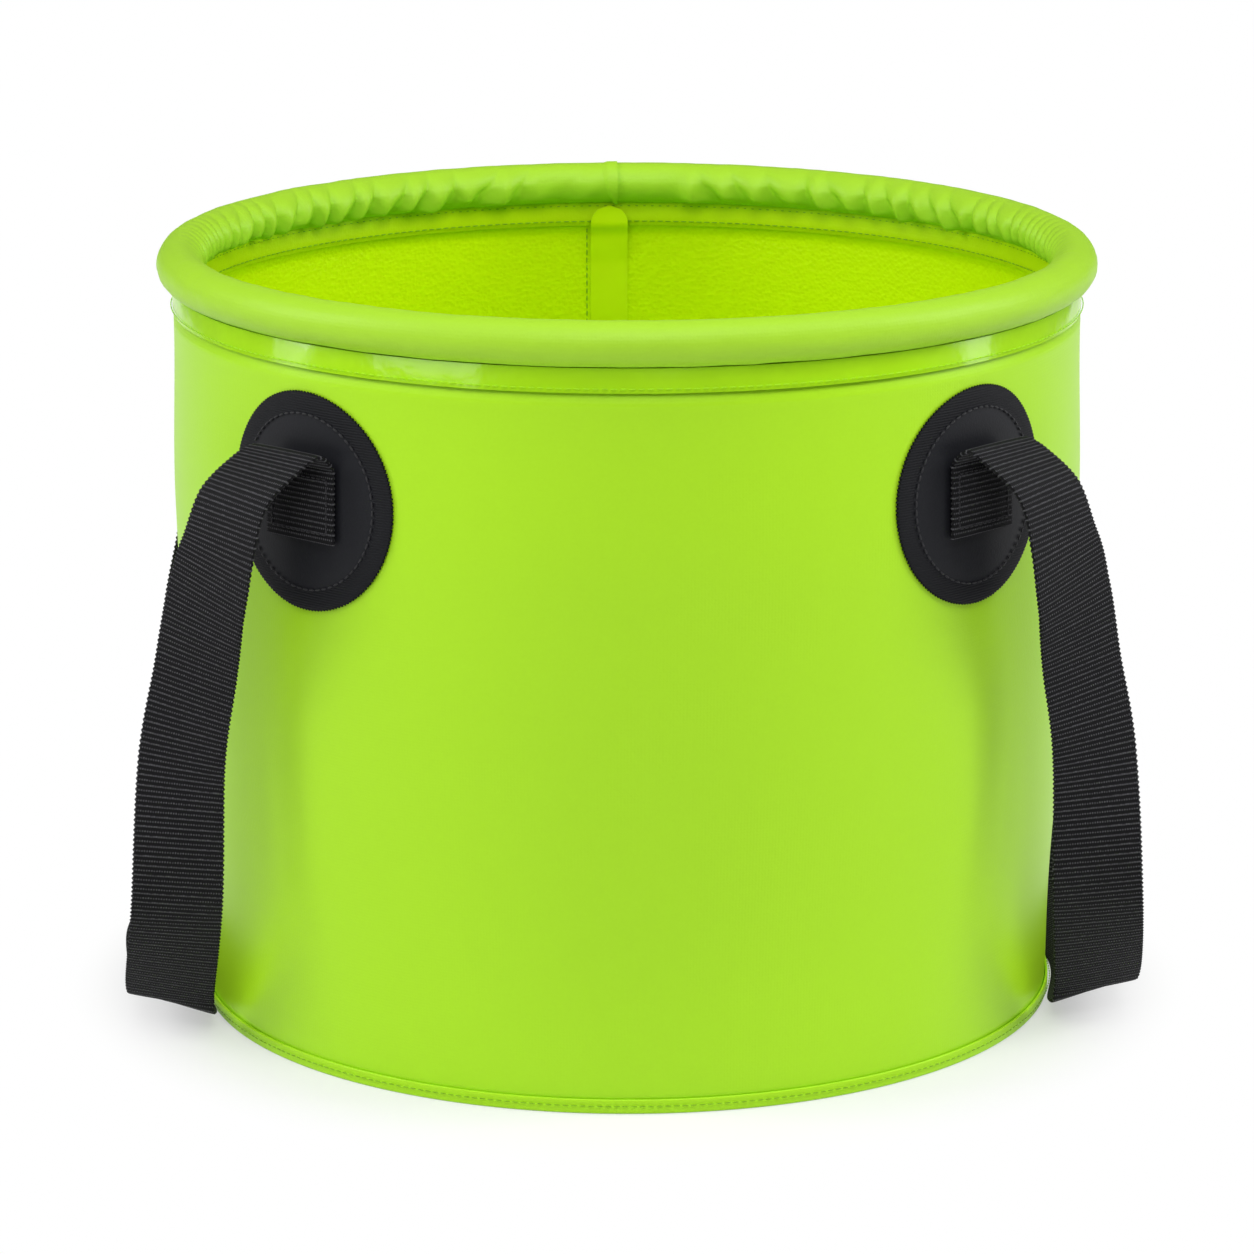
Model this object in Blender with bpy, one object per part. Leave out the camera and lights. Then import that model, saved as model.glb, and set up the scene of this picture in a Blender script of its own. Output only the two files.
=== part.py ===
"""Collapsible camp bucket: a coated-fabric bucket that folds flat under a padded, hooped rim.

Metres, +Z up. The origin is the centre of the base's underside. The front is -Y, the wall's seam and the
sleeve's join are at +Y, and one webbing handle hangs at -X and one at +X.
"""

import math

import bmesh
import bpy
from mathutils import Matrix, Vector

# Fits and the sides of a round piece
GAP = 0.0003
MERGE_SHARE = 0.01
ROUND_SIDES = 64

# Base panel, with its edge turned up outside the wall
BASE_THICKNESS = 0.0012
BASE_LIP_THICKNESS = 0.0010
BASE_LIP_HEIGHT = 0.0052

# Wall panel, a slightly tapered tube
WALL_FOOT_RADIUS = 0.1522
WALL_TOP_RADIUS = 0.1586
WALL_THICKNESS = 0.0010

# Padded rim: spring hoop, foam tube and fabric sleeve
RIM_CENTRE_HEIGHT = 0.2658
RIM_TUBE_RADIUS = 0.0077
SLEEVE_THICKNESS = 0.0008
HOOP_WIRE_RADIUS = 0.0016
INNER_HEM_DEPTH = 0.0164
OUTER_HEM_DEPTH = 0.0148
RIM_ARC_STEPS = 12
CAVITY_ARC_STEPS = 8
BORE_ARC_STEPS = 6
HOOP_SIDES = 6

# Lap where the sleeve's two ends meet
LAP_WIDTH = 0.0062
LAP_THICKNESS = 0.0005
LAP_FIRST_DEG = 100.0
LAP_LAST_DEG = 248.0
LAP_STEPS = 10

# Tapes welded over the seams
TAPE_THICKNESS = 0.0005
RIM_TAPE_WIDTH = 0.0084
RIM_TAPE_DEPTH = 0.0160
SEAM_TAPE_WIDTH = 0.0142
SEAM_TAPE_RAMP = 0.0041
SEAM_TAPE_HEAD_STEPS = 6
BASE_TAPE_RISE = 0.0080
BASE_TAPE_REACH = 0.0080

# Stitching
THREAD_RADIUS = 0.00035
HEM_STITCH_INSET = 0.0019
RIM_TAPE_STITCH_INSET = 0.0016
BASE_STITCH_HEIGHT = 0.0031
SEAM_STITCH_INSET = 0.0014
BOX_STITCH_INSET = 0.0032

# Handle patches, whose centres hang below the rim's
PATCH_AZIMUTH_DEG = 45.0
PATCH_RADIUS = 0.0374
PATCH_DROP = 0.0610
PATCH_THICKNESS = 0.0010
PATCH_STITCH_RADIUS = 0.0300
PATCH_SIDES = 24
PATCH_RINGS = 2
PATCH_STITCH_POINTS = 32

# Webbing handles: the sewn end starts below the patch's centre, and the fold rises above its top
WEBBING_WIDTH = 0.0320
WEBBING_THICKNESS = 0.0018
SEWN_END_DROP = 0.0124
SEWN_LENGTH = 0.0252
FOLD_REACH = 0.0059
FOLD_RISE = 0.0054
LOOP_FLOOR_GAP = 0.00715
LOOP_WALL_GAP = 0.0017
LOOP_DIP_DEG = 22.3

# The leg's centre line from the fold's crest to the loop's lowest point: how far it has gone outwards to
# that point, how far from the middle as a share of the crest's, and how high as a share of the drop
LEG_ROUTE_SHARES = (
    (0.141, 0.984, 0.979),
    (0.361, 0.994, 0.924),
    (0.476, 0.978, 0.836),
    (0.564, 0.919, 0.744),
    (0.649, 0.848, 0.623),
    (0.746, 0.824, 0.470),
    (0.786, 0.799, 0.230),
    (0.909, 0.566, 0.045),
    (0.890, 0.430, 0.004),
)
# How far the webbing has turned at each of those points, from lying along the wall to facing outwards
LEG_TURN_SHARES = (0.04, 0.02, 0.13, 0.26, 0.53, 0.71, 0.79, 0.74, 0.71)
LEG_STEPS = 3
# The drop, as a share of the width, over which the webbing comes square to its centre line past the fold
SQUARE_DROP_SHARE = 1.6

# Hinge line of each handle, inside the fold, and where the loop parts from the strap's root
HINGE_DISTANCE = 0.0110
HINGE_DROP = 0.0150
ROOT_RADIUS = 0.0725

SIDES = {"left": -1, "right": 1}
ENDS = {"front": -1, "rear": 1}


def shade(name, colour, roughness, metallic=0.0):
    """A Principled material with one colour."""
    found = bpy.data.materials.new(name)
    found.use_nodes = True
    surface = found.node_tree.nodes["Principled BSDF"]
    surface.inputs["Base Color"].default_value = (*colour, 1.0)
    surface.inputs["Roughness"].default_value = roughness
    surface.inputs["Metallic"].default_value = metallic
    return found


def make_materials():
    return {
        "panel": shade("coated_panel", (0.42, 0.79, 0.03), 0.42),
        "sleeve": shade("sleeve_fabric", (0.40, 0.74, 0.04), 0.62),
        "tape": shade("seam_tape", (0.44, 0.80, 0.03), 0.22),
        "green_thread": shade("green_thread", (0.30, 0.62, 0.02), 0.7),
        "patch": shade("patch_fabric", (0.020, 0.020, 0.024), 0.6),
        "webbing": shade("webbing", (0.012, 0.012, 0.013), 0.75),
        "black_thread": shade("black_thread", (0.09, 0.09, 0.09), 0.6),
        "foam": shade("foam", (0.75, 0.75, 0.73), 0.9),
        "hoop": shade("spring_wire", (0.60, 0.60, 0.62), 0.35, 1.0),
    }


def add_object(name, data, finish, parent):
    if finish.name not in data.materials:
        data.materials.append(finish)
    piece = bpy.data.objects.new(name, data)
    bpy.context.scene.collection.objects.link(piece)
    piece.parent = parent
    return piece


def add_empty(name, place=(0, 0, 0), parent=None):
    empty = bpy.data.objects.new(name, None)
    empty.location = place
    empty.parent = parent
    bpy.context.scene.collection.objects.link(empty)
    return empty


def finish_mesh(name, shape, smooth_deg=40):
    """The bmesh as a mesh whose faces point outwards."""
    bmesh.ops.recalc_face_normals(shape, faces=shape.faces)
    if shape.calc_volume(signed=True) < 0:
        bmesh.ops.reverse_faces(shape, faces=shape.faces)
    mesh = bpy.data.meshes.new(name)
    shape.to_mesh(mesh)
    shape.free()
    mesh.shade_smooth()
    mesh.set_sharp_from_angle(angle=math.radians(smooth_deg))
    return mesh


def sheet_mesh(name, shape):
    """The bmesh, an open sheet, as a mesh."""
    mesh = bpy.data.meshes.new(name)
    shape.to_mesh(mesh)
    shape.free()
    mesh.shade_smooth()
    return mesh


def thicken(piece, thickness, offset):
    """Give a sheet its thickness: behind it at -1, half each side at 0 and in front of it at 1."""
    wall = piece.modifiers.new("Thickness", "SOLIDIFY")
    wall.thickness = thickness
    wall.offset = offset
    wall.use_even_offset = True


def turned(name, section):
    """A closed outline of (radius, height) points, spun about the Z axis."""
    shape = bmesh.new()
    corners = [shape.verts.new((radius, 0, height)) for radius, height in section]
    edges = [
        shape.edges.new((corner, corners[(i + 1) % len(corners)]))
        for i, corner in enumerate(corners)
        if not (corner.co.x == 0 and corners[(i + 1) % len(corners)].co.x == 0)
    ]
    bmesh.ops.spin(
        shape,
        geom=corners + edges,
        cent=(0, 0, 0),
        axis=(0, 0, 1),
        angle=2 * math.pi,
        steps=ROUND_SIDES,
        use_merge=True,
    )
    bmesh.ops.remove_doubles(shape, verts=shape.verts, dist=GAP * MERGE_SHARE)
    return finish_mesh(name, shape)


def thread(name, points, closed):
    """A thread laid along points, as a round-section curve."""
    curve = bpy.data.curves.new(name, "CURVE")
    curve.dimensions = "3D"
    curve.bevel_depth = THREAD_RADIUS
    curve.bevel_resolution = 0
    curve.use_fill_caps = not closed
    line = curve.splines.new("POLY")
    line.points.add(len(points) - 1)
    for point, place in zip(line.points, points):
        point.co = (*place, 1)
    line.use_cyclic_u = closed
    return curve


def circle_points(radius, height):
    turns = [2 * math.pi * i / ROUND_SIDES for i in range(ROUND_SIDES)]
    return [(radius * math.cos(a), radius * math.sin(a), height) for a in turns]


def arc(centre, radius, first, last, steps):
    """Points on a circle of the (radius, height) plane, from one angle to another."""
    angles = [first + (last - first) * i / steps for i in range(steps + 1)]
    return [(centre[0] + radius * math.cos(a), centre[1] + radius * math.sin(a)) for a in angles]


def wall_outer(height):
    """The wall's outer radius at a height."""
    share = (height - BASE_THICKNESS) / (RIM_CENTRE_HEIGHT - RIM_TUBE_RADIUS - BASE_THICKNESS)
    return WALL_FOOT_RADIUS + (WALL_TOP_RADIUS - WALL_FOOT_RADIUS) * share


def wall_inner(height):
    return wall_outer(height) - WALL_THICKNESS


def rim_centre():
    return (WALL_TOP_RADIUS - WALL_THICKNESS / 2, RIM_CENTRE_HEIGHT)


def lip_radius():
    """The outside of the base's turned-up edge."""
    return WALL_FOOT_RADIUS + GAP + BASE_LIP_THICKNESS


def patch_centre_height():
    return RIM_CENTRE_HEIGHT - PATCH_DROP


def on_wall(along, height, lift):
    """A place that stands off the wall's outside by lift, along metres round it, in a patch's own frame."""
    radius = wall_outer(height) + lift
    turn = along / radius
    return (radius * math.cos(turn), radius * math.sin(turn), height)


def base_panel(finish, parent):
    foot = WALL_FOOT_RADIUS + GAP
    section = [
        (0, BASE_THICKNESS),
        (0, 0),
        (lip_radius(), 0),
        (lip_radius(), BASE_LIP_HEIGHT),
        (foot, BASE_LIP_HEIGHT),
        (foot, BASE_THICKNESS),
    ]
    add_object("base_panel", turned("base_panel", section), finish, parent)


def base_stitching(finish, parent):
    radius = lip_radius() + GAP + THREAD_RADIUS
    points = circle_points(radius, BASE_STITCH_HEIGHT)
    add_object("base_stitching", thread("base_stitching", points, True), finish, parent)


def wall_foot_height():
    return BASE_THICKNESS + GAP


def wall_top_height():
    """The wall ends in the slot, level with the bottom of the sleeve's hollow."""
    return RIM_CENTRE_HEIGHT - RIM_TUBE_RADIUS + SLEEVE_THICKNESS - GAP


def wall_panel(finish, parent):
    low, high = wall_foot_height(), wall_top_height()
    section = [
        (wall_outer(high), high),
        (wall_outer(low), low),
        (wall_inner(low), low),
        (wall_inner(high), high),
    ]
    add_object("wall_panel", turned("wall_panel", section), finish, parent)


def base_tape_top():
    return BASE_THICKNESS + GAP + BASE_TAPE_RISE


def base_seam_tape(finish, parent):
    """The L-section tape over the inside corner of base and wall."""
    floor = BASE_THICKNESS + GAP
    top = base_tape_top()
    outer_low, outer_high = wall_inner(floor) - GAP, wall_inner(top) - GAP
    section = [
        (outer_high, top),
        (outer_low, floor),
        (outer_low - BASE_TAPE_REACH, floor),
        (outer_low - BASE_TAPE_REACH, floor + TAPE_THICKNESS),
        (outer_low - TAPE_THICKNESS, floor + TAPE_THICKNESS),
        (outer_high - TAPE_THICKNESS, top),
    ]
    add_object("base_seam_tape", turned("base_seam_tape", section), finish, parent)


def hem_inner(height):
    """The inside face of the sleeve's inner hem."""
    return wall_inner(height) - GAP - SLEEVE_THICKNESS


def hem_outer(height):
    return wall_outer(height) + GAP + SLEEVE_THICKNESS


def inner_hem_low():
    return RIM_CENTRE_HEIGHT - INNER_HEM_DEPTH


def outer_hem_low():
    return RIM_CENTRE_HEIGHT - OUTER_HEM_DEPTH


def meeting_angle(radius, offset):
    """Where a circle meets an upright line that stands offset outside its centre, below the centre."""
    return -math.acos(offset / radius)


def rim_sleeve(finish, parent):
    """Tube and two hems in one outline, open between the hems for the wall's top edge."""
    centre = rim_centre()
    low_in, low_out = inner_hem_low(), outer_hem_low()
    hem_reach = WALL_THICKNESS / 2 + GAP + SLEEVE_THICKNESS
    slot_reach = WALL_THICKNESS / 2 + GAP
    cavity = RIM_TUBE_RADIUS - SLEEVE_THICKNESS
    outside = meeting_angle(RIM_TUBE_RADIUS, hem_reach)
    inside = meeting_angle(cavity, slot_reach)
    section = arc(centre, RIM_TUBE_RADIUS, outside, math.pi - outside, RIM_ARC_STEPS)
    section += [
        (hem_inner(low_in), low_in),
        (wall_inner(low_in) - GAP, low_in),
    ]
    section += arc(centre, cavity, math.pi - inside, inside, CAVITY_ARC_STEPS)
    section += [
        (wall_outer(low_out) + GAP, low_out),
        (hem_outer(low_out), low_out),
    ]
    add_object("rim_sleeve", turned("rim_sleeve", section), finish, parent)


def rim_foam(finish, parent):
    """The foam tube, slit along its underside to go over the hoop."""
    centre = rim_centre()
    outer = RIM_TUBE_RADIUS - SLEEVE_THICKNESS - GAP
    bore = HOOP_WIRE_RADIUS + GAP
    slit = WALL_THICKNESS / 2 + GAP
    outside, inside = meeting_angle(outer, slit), meeting_angle(bore, slit)
    section = arc(centre, outer, outside, math.pi - outside, CAVITY_ARC_STEPS)
    section += arc(centre, bore, math.pi - inside, inside, BORE_ARC_STEPS)
    add_object("rim_foam", turned("rim_foam", section), finish, parent)


def rim_hoop(finish, parent):
    full_turn = 2 * math.pi
    section = arc(rim_centre(), HOOP_WIRE_RADIUS, 0, full_turn, HOOP_SIDES)[:-1]
    add_object("rim_hoop", turned("rim_hoop", section), finish, parent)


def sleeve_lap(finish, parent):
    """The free end of the sleeve, folded over its own start at the back of the rim."""
    centre = rim_centre()
    turn = LAP_WIDTH / centre[0]
    start, end = math.radians(LAP_FIRST_DEG), math.radians(LAP_LAST_DEG)
    inner = (RIM_TUBE_RADIUS + GAP) / math.cos((end - start) / LAP_STEPS / 2)
    outline = arc(centre, inner, start, end, LAP_STEPS)
    outline += arc(centre, inner + LAP_THICKNESS, end, start, LAP_STEPS)
    shape = bmesh.new()
    first = shape.faces.new([shape.verts.new((radius, 0, height)) for radius, height in outline])
    bmesh.ops.rotate(
        shape,
        verts=shape.verts,
        cent=(0, 0, 0),
        matrix=rotation_z(math.pi / 2 - turn / 2),
    )
    grown = bmesh.ops.extrude_face_region(shape, geom=[first])
    moved = [v for v in grown["geom"] if isinstance(v, bmesh.types.BMVert)]
    bmesh.ops.rotate(shape, verts=moved, cent=(0, 0, 0), matrix=rotation_z(turn))
    add_object("sleeve_lap", finish_mesh("sleeve_lap", shape), finish, parent)


def rotation_z(angle):
    return Matrix.Rotation(angle, 3, "Z")


def rim_tape_low():
    return RIM_CENTRE_HEIGHT - RIM_TAPE_DEPTH


def rim_seam_tape(finish, parent):
    """The glossy strip round the outside, over the sleeve's outer hem."""
    low = rim_tape_low()
    high = low + RIM_TAPE_WIDTH
    section = [
        (hem_outer(high) + GAP + TAPE_THICKNESS, high),
        (hem_outer(low) + GAP + TAPE_THICKNESS, low),
        (hem_outer(low) + GAP, low),
        (hem_outer(high) + GAP, high),
    ]
    add_object("rim_seam_tape", turned("rim_seam_tape", section), finish, parent)


def rim_stitching(finish, parent):
    """One row inside on the hem, and one row outside along the tape's lower edge."""
    height = inner_hem_low() + HEM_STITCH_INSET
    points = circle_points(hem_inner(height) - GAP - THREAD_RADIUS, height)
    add_object("rim_hem_stitching", thread("rim_hem_stitching", points, True), finish, parent)
    height = rim_tape_low() + RIM_TAPE_STITCH_INSET
    radius = hem_outer(height) + GAP + TAPE_THICKNESS + GAP + THREAD_RADIUS
    points = circle_points(radius, height)
    add_object("rim_tape_stitching", thread("rim_tape_stitching", points, True), finish, parent)


def seam_tape_bend():
    """Where the upright tape, on its way up, is clear of the hem."""
    return inner_hem_low() - GAP


def seam_tape_face(height):
    """The back of the upright tape: on the wall low down, and in front of the hem's stitches higher up."""
    flat = math.cos(math.pi / ROUND_SIDES)
    share = min(max((height - seam_tape_bend()) / SEAM_TAPE_RAMP + 1, 0), 1)
    on_panel = wall_inner(height) * flat - GAP
    on_hem = hem_inner(height) * flat - 2 * GAP - 2 * THREAD_RADIUS
    return on_panel + (on_hem - on_panel) * share


def wall_seam_tape(finish, parent):
    """The upright tape inside the back of the wall, over its seam and the hem, with a round head."""
    half = SEAM_TAPE_WIDTH / 2
    low = base_tape_top() + GAP
    high = RIM_CENTRE_HEIGHT - RIM_TUBE_RADIUS - 2 * GAP
    rows = [(half, z) for z in (low, seam_tape_bend() - SEAM_TAPE_RAMP, seam_tape_bend())]
    for i in range(SEAM_TAPE_HEAD_STEPS):
        angle = math.pi / 2 * i / SEAM_TAPE_HEAD_STEPS
        rows.append((half * math.cos(angle), high - half + half * math.sin(angle)))
    shape = bmesh.new()
    pairs = []
    for reach, z in rows:
        radius = seam_tape_face(z)
        pairs.append([shape.verts.new((side * reach, radius, z)) for side in (-1, 1)])
    tip = shape.verts.new((0, seam_tape_face(high), high))
    for (a, b), (c, d) in zip(pairs, pairs[1:]):
        shape.faces.new((a, b, d, c))
    shape.faces.new((*pairs[-1], tip))
    piece = add_object("wall_seam_tape", sheet_mesh("wall_seam_tape", shape), finish, parent)
    thicken(piece, TAPE_THICKNESS, 1)


def wall_seam_stitching(finish, parent):
    """The row of stitches beside the upright tape, through the wall's lap."""
    across = -(SEAM_TAPE_WIDTH / 2 + SEAM_STITCH_INSET)
    points = []
    for z in (base_tape_top() + GAP, inner_hem_low() - GAP):
        reach = wall_inner(z) * math.cos(math.pi / ROUND_SIDES) - GAP - THREAD_RADIUS
        points.append((across, math.sqrt(reach**2 - across**2), z))
    data = thread("wall_seam_stitching", points, False)
    add_object("wall_seam_stitching", data, finish, parent)


def patch_mesh():
    """A round patch that follows the wall, in the frame of its own azimuth."""
    shape = bmesh.new()
    bmesh.ops.create_circle(shape, cap_ends=True, segments=PATCH_SIDES, radius=PATCH_RADIUS)
    step = PATCH_RADIUS / (PATCH_RINGS + 1)
    for _ in range(PATCH_RINGS):
        middle = min(shape.faces, key=lambda f: f.calc_center_median().length)
        bmesh.ops.inset_individual(shape, faces=[middle], thickness=step)
    middle = min(shape.faces, key=lambda f: f.calc_center_median().length)
    bmesh.ops.poke(shape, faces=[middle])
    for corner in shape.verts:
        corner.co = on_wall(corner.co.x, patch_centre_height() + corner.co.y, GAP)
    return sheet_mesh("patch", shape)


def patch_face():
    """How far a patch's outside stands off the wall."""
    return GAP + PATCH_THICKNESS


def patch_stitch_data():
    lift = patch_face() + GAP + THREAD_RADIUS
    points = []
    for i in range(PATCH_STITCH_POINTS):
        angle = 2 * math.pi * i / PATCH_STITCH_POINTS
        across = PATCH_STITCH_RADIUS * math.cos(angle)
        height = patch_centre_height() + PATCH_STITCH_RADIUS * math.sin(angle)
        points.append(on_wall(across, height, lift))
    return thread("patch_stitching", points, True)


def azimuth(side, end):
    """The direction of a patch, in radians from +X."""
    return math.atan2(
        ENDS[end] * math.sin(math.radians(PATCH_AZIMUTH_DEG)),
        SIDES[side] * math.cos(math.radians(PATCH_AZIMUTH_DEG)),
    )


def sewn_low():
    return patch_centre_height() - SEWN_END_DROP


def sewn_top():
    return sewn_low() + SEWN_LENGTH


def crest_height():
    return sewn_top() + FOLD_RISE


def sewn_radius(height):
    """The centre line of the sewn webbing, which lies on the patch."""
    return wall_outer(height) + patch_face() + GAP + WEBBING_THICKNESS / 2


def smooth_line(before, points, after, steps):
    """Points on a smooth curve through the given ones, which comes from before and goes on to after."""
    ends = [before, *points, after]
    line = []
    for a, b, c, d in zip(ends, ends[1:], ends[2:], ends[3:]):
        for i in range(steps):
            t = i / steps
            line.append(
                0.5
                * (
                    2 * b
                    + (c - a) * t
                    + (2 * a - 5 * b + 4 * c - d) * t**2
                    + (3 * b - a - 3 * c + d) * t**3
                )
            )
    return line + [points[-1]]


def crest_reach():
    return sewn_radius(sewn_top()) + FOLD_REACH


def loop_reach():
    """How far out the loop's middle stands, so that its inner edge clears the base."""
    half = WEBBING_WIDTH / 2 * math.cos(math.radians(LOOP_DIP_DEG))
    return lip_radius() + LOOP_WALL_GAP + half


def strap_stations():
    """(centre, width direction) from the sewn end at the front left to the loop's lowest point."""
    lean = math.radians(PATCH_AZIMUTH_DEG)
    outwards = Vector((-math.cos(lean), -math.sin(lean), 0))
    along = Vector((math.sin(lean), -math.cos(lean), 0))
    upwards = Vector((0, 0, 1))
    dip = math.radians(LOOP_DIP_DEG)
    facing_out = Vector((math.cos(dip), 0, -math.sin(dip)))
    sewn_start = outwards * sewn_radius(sewn_low()) + upwards * sewn_low()
    sewn_end = outwards * sewn_radius(sewn_top()) + upwards * sewn_top()
    crest = outwards * crest_reach() + upwards * crest_height()
    low = Vector((-loop_reach(), 0, LOOP_FLOOR_GAP))
    places = [sewn_end, crest]
    for out, side, drop in LEG_ROUTE_SHARES:
        x = crest.x + (low.x - crest.x) * out
        z = low.z + (crest.z - low.z) * drop
        places.append(Vector((x, crest.y * side, z)))
    places.append(low)
    below = sewn_end - upwards * FOLD_RISE
    past_middle = places[-2] * Vector((1, -1, 1))
    centres = [sewn_start] + smooth_line(below, places, past_middle, LEG_STEPS)
    turns = [0, 0, *LEG_TURN_SHARES, 1]
    turns = [0] + smooth_line(turns[0], turns, turns[-2], LEG_STEPS)
    stations = []
    for i, (centre, turn) in enumerate(zip(centres, turns)):
        before, after = centres[max(i - 1, 0)], centres[min(i + 1, len(centres) - 1)]
        path = (after - before).normalized() if i < len(centres) - 1 else Vector((0, 1, 0))
        across = along.lerp(facing_out, min(max(turn, 0), 1))
        square = min(max((crest.z - centre.z) / (SQUARE_DROP_SHARE * WEBBING_WIDTH), 0), 1)
        across = (across - path * across.dot(path) * square).normalized()
        stations.append((centre, across))
    return stations


def hinge_place():
    """(distance out, height) of each handle's hinge line."""
    lean = math.radians(PATCH_AZIMUTH_DEG)
    return (crest_reach() * math.cos(lean) + HINGE_DISTANCE, crest_height() - HINGE_DROP)


def hinge_distance(centre):
    out, height = hinge_place()
    return math.hypot(abs(centre.x) - out, centre.z - height)


def between(a, b, share):
    return (a[0].lerp(b[0], share), a[1].lerp(b[1], share).normalized())


def split_stations():
    """The stations of a strap's root and of the half loop, parted at ROOT_RADIUS from the hinge line."""
    stations = strap_stations()
    last = max(i for i, s in enumerate(stations) if hinge_distance(s[0]) < ROOT_RADIUS)
    near, far = stations[last], stations[last + 1]
    step = hinge_distance(far[0]) - hinge_distance(near[0])
    share = (ROOT_RADIUS - hinge_distance(near[0])) / step
    part = (far[0] - near[0]).length
    root = stations[: last + 1] + [between(near, far, share - GAP / 2 / part)]
    loop = [between(near, far, share + GAP / 2 / part)] + stations[last + 1 :]
    return root, loop


def webbing(name, stations, shift=(0, 0, 0)):
    """A flat ribbon through the stations, made as thick as the webbing."""
    shape = bmesh.new()
    half = WEBBING_WIDTH / 2
    rows = []
    for centre, across in stations:
        place = centre - Vector(shift)
        rows.append([shape.verts.new(place + across * half * side) for side in (-1, 1)])
    for (a, b), (c, d) in zip(rows, rows[1:]):
        shape.faces.new((a, b, d, c))
    return sheet_mesh(name, shape)


def mirrored(stations, side, end):
    """Front-left stations, moved to another corner of the bucket."""
    flip = Vector((-SIDES[side], -ENDS[end], 1))
    return [(centre * flip, across * flip) for centre, across in stations]


def strap_root(side, end, finish, parent):
    root, _ = split_stations()
    name = f"strap_root_{end}_{side}"
    piece = add_object(name, webbing(name, mirrored(root, side, end)), finish, parent)
    thicken(piece, WEBBING_THICKNESS, 0)


def handle_loop(side, finish, parent):
    _, half = split_stations()
    front = mirrored(half, side, "front")
    rear = mirrored(half, side, "rear")[-2::-1]
    name = f"handle_{side}"
    piece = add_object(name, webbing(name, front + rear, parent.location), finish, parent)
    thicken(piece, WEBBING_THICKNESS, 0)


def box_stitch_data():
    """The box of stitches through a sewn end, in the frame of its patch."""
    lift = WEBBING_THICKNESS / 2 + GAP + THREAD_RADIUS
    half = WEBBING_WIDTH / 2 - BOX_STITCH_INSET
    low = sewn_low() + BOX_STITCH_INSET
    high = sewn_top() - BOX_STITCH_INSET
    corners = [(-half, low), (half, low), (half, high), (-half, high)]
    points = [(sewn_radius(height) + lift, across, height) for across, height in corners]
    return thread("box_stitching", points, True)


def clear_scene():
    for piece in list(bpy.data.objects):
        bpy.data.objects.remove(piece, do_unlink=True)


def main():
    clear_scene()
    finishes = make_materials()
    base = add_empty("base_carrier")
    rim = add_empty("rim_carrier")

    base_panel(finishes["panel"], base)
    base_stitching(finishes["green_thread"], base)
    base_seam_tape(finishes["tape"], base)
    wall_panel(finishes["panel"], base)
    wall_seam_tape(finishes["tape"], base)
    wall_seam_stitching(finishes["green_thread"], base)

    rim_hoop(finishes["hoop"], rim)
    rim_foam(finishes["foam"], rim)
    rim_sleeve(finishes["sleeve"], rim)
    sleeve_lap(finishes["sleeve"], rim)
    rim_seam_tape(finishes["tape"], rim)
    rim_stitching(finishes["green_thread"], rim)

    patch, patch_stitches, box = patch_mesh(), patch_stitch_data(), box_stitch_data()
    for side in SIDES:
        out, height = hinge_place()
        hinge = add_empty(f"handle_{side}_hinge", (SIDES[side] * out, 0, height), rim)
        handle_loop(side, finishes["webbing"], hinge)
        for end in ENDS:
            turn = azimuth(side, end)
            place = f"{end}_{side}"
            piece = add_object(f"patch_{place}", patch, finishes["patch"], rim)
            piece.rotation_euler.z = turn
            thicken(piece, PATCH_THICKNESS, 1)
            thread_black = finishes["black_thread"]
            stitches = add_object(f"patch_stitching_{place}", patch_stitches, thread_black, rim)
            stitches.rotation_euler.z = turn
            stitches = add_object(f"box_stitching_{place}", box, thread_black, rim)
            stitches.rotation_euler.z = turn
            strap_root(side, end, finishes["webbing"], rim)


if __name__ == "__main__":
    main()
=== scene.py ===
"""The looks of a collapsible camp bucket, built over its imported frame.

Metres, +Z up, the front at -Y. The base pieces ride the base and the rim pieces the rim; the wall stands
between the two, and each webbing strap runs from the rim to its handle.
"""

import bisect
import functools
import math

import bmesh
import bpy
from mathutils import Matrix, Vector, noise


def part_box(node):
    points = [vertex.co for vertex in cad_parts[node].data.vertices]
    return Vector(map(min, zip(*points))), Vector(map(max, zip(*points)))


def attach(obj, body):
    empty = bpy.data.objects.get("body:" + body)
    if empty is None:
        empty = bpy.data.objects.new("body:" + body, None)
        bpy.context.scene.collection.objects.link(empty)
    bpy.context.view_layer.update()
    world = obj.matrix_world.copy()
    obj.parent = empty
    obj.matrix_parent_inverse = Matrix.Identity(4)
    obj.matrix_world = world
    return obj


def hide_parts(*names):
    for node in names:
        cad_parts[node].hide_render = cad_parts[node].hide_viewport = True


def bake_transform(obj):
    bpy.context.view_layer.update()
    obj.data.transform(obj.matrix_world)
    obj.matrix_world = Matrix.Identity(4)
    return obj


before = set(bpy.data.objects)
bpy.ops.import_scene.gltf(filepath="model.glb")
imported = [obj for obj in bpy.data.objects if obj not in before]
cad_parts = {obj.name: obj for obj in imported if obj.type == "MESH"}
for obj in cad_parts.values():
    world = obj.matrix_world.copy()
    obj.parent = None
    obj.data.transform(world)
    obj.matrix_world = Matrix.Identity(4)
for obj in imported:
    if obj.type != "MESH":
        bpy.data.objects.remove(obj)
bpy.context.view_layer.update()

bl_info = {
    "name": "Camp Bucket",
    "version": (1, 0, 0),
    "blender": (4, 5, 0),
    "location": "3D View > Sidebar > Bucket",
    "description": "Coated fabric, puckered rim, patches and webbing of a collapsible bucket",
    "category": "Object",
}

FULL_TURN = 2 * math.pi
UP = Vector((0, 0, 1))

# Closeness at which two corners of the frame or of a mesh are one
TOUCH = 1e-6
# Digits to which places are rounded where like ones are looked up
KEY_DIGITS = 5
# Turn at which an edge between two faces is left sharp
SHARP_DEG = 50
# Equal sectors of which a turned piece is made
SECTORS = 24

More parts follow.
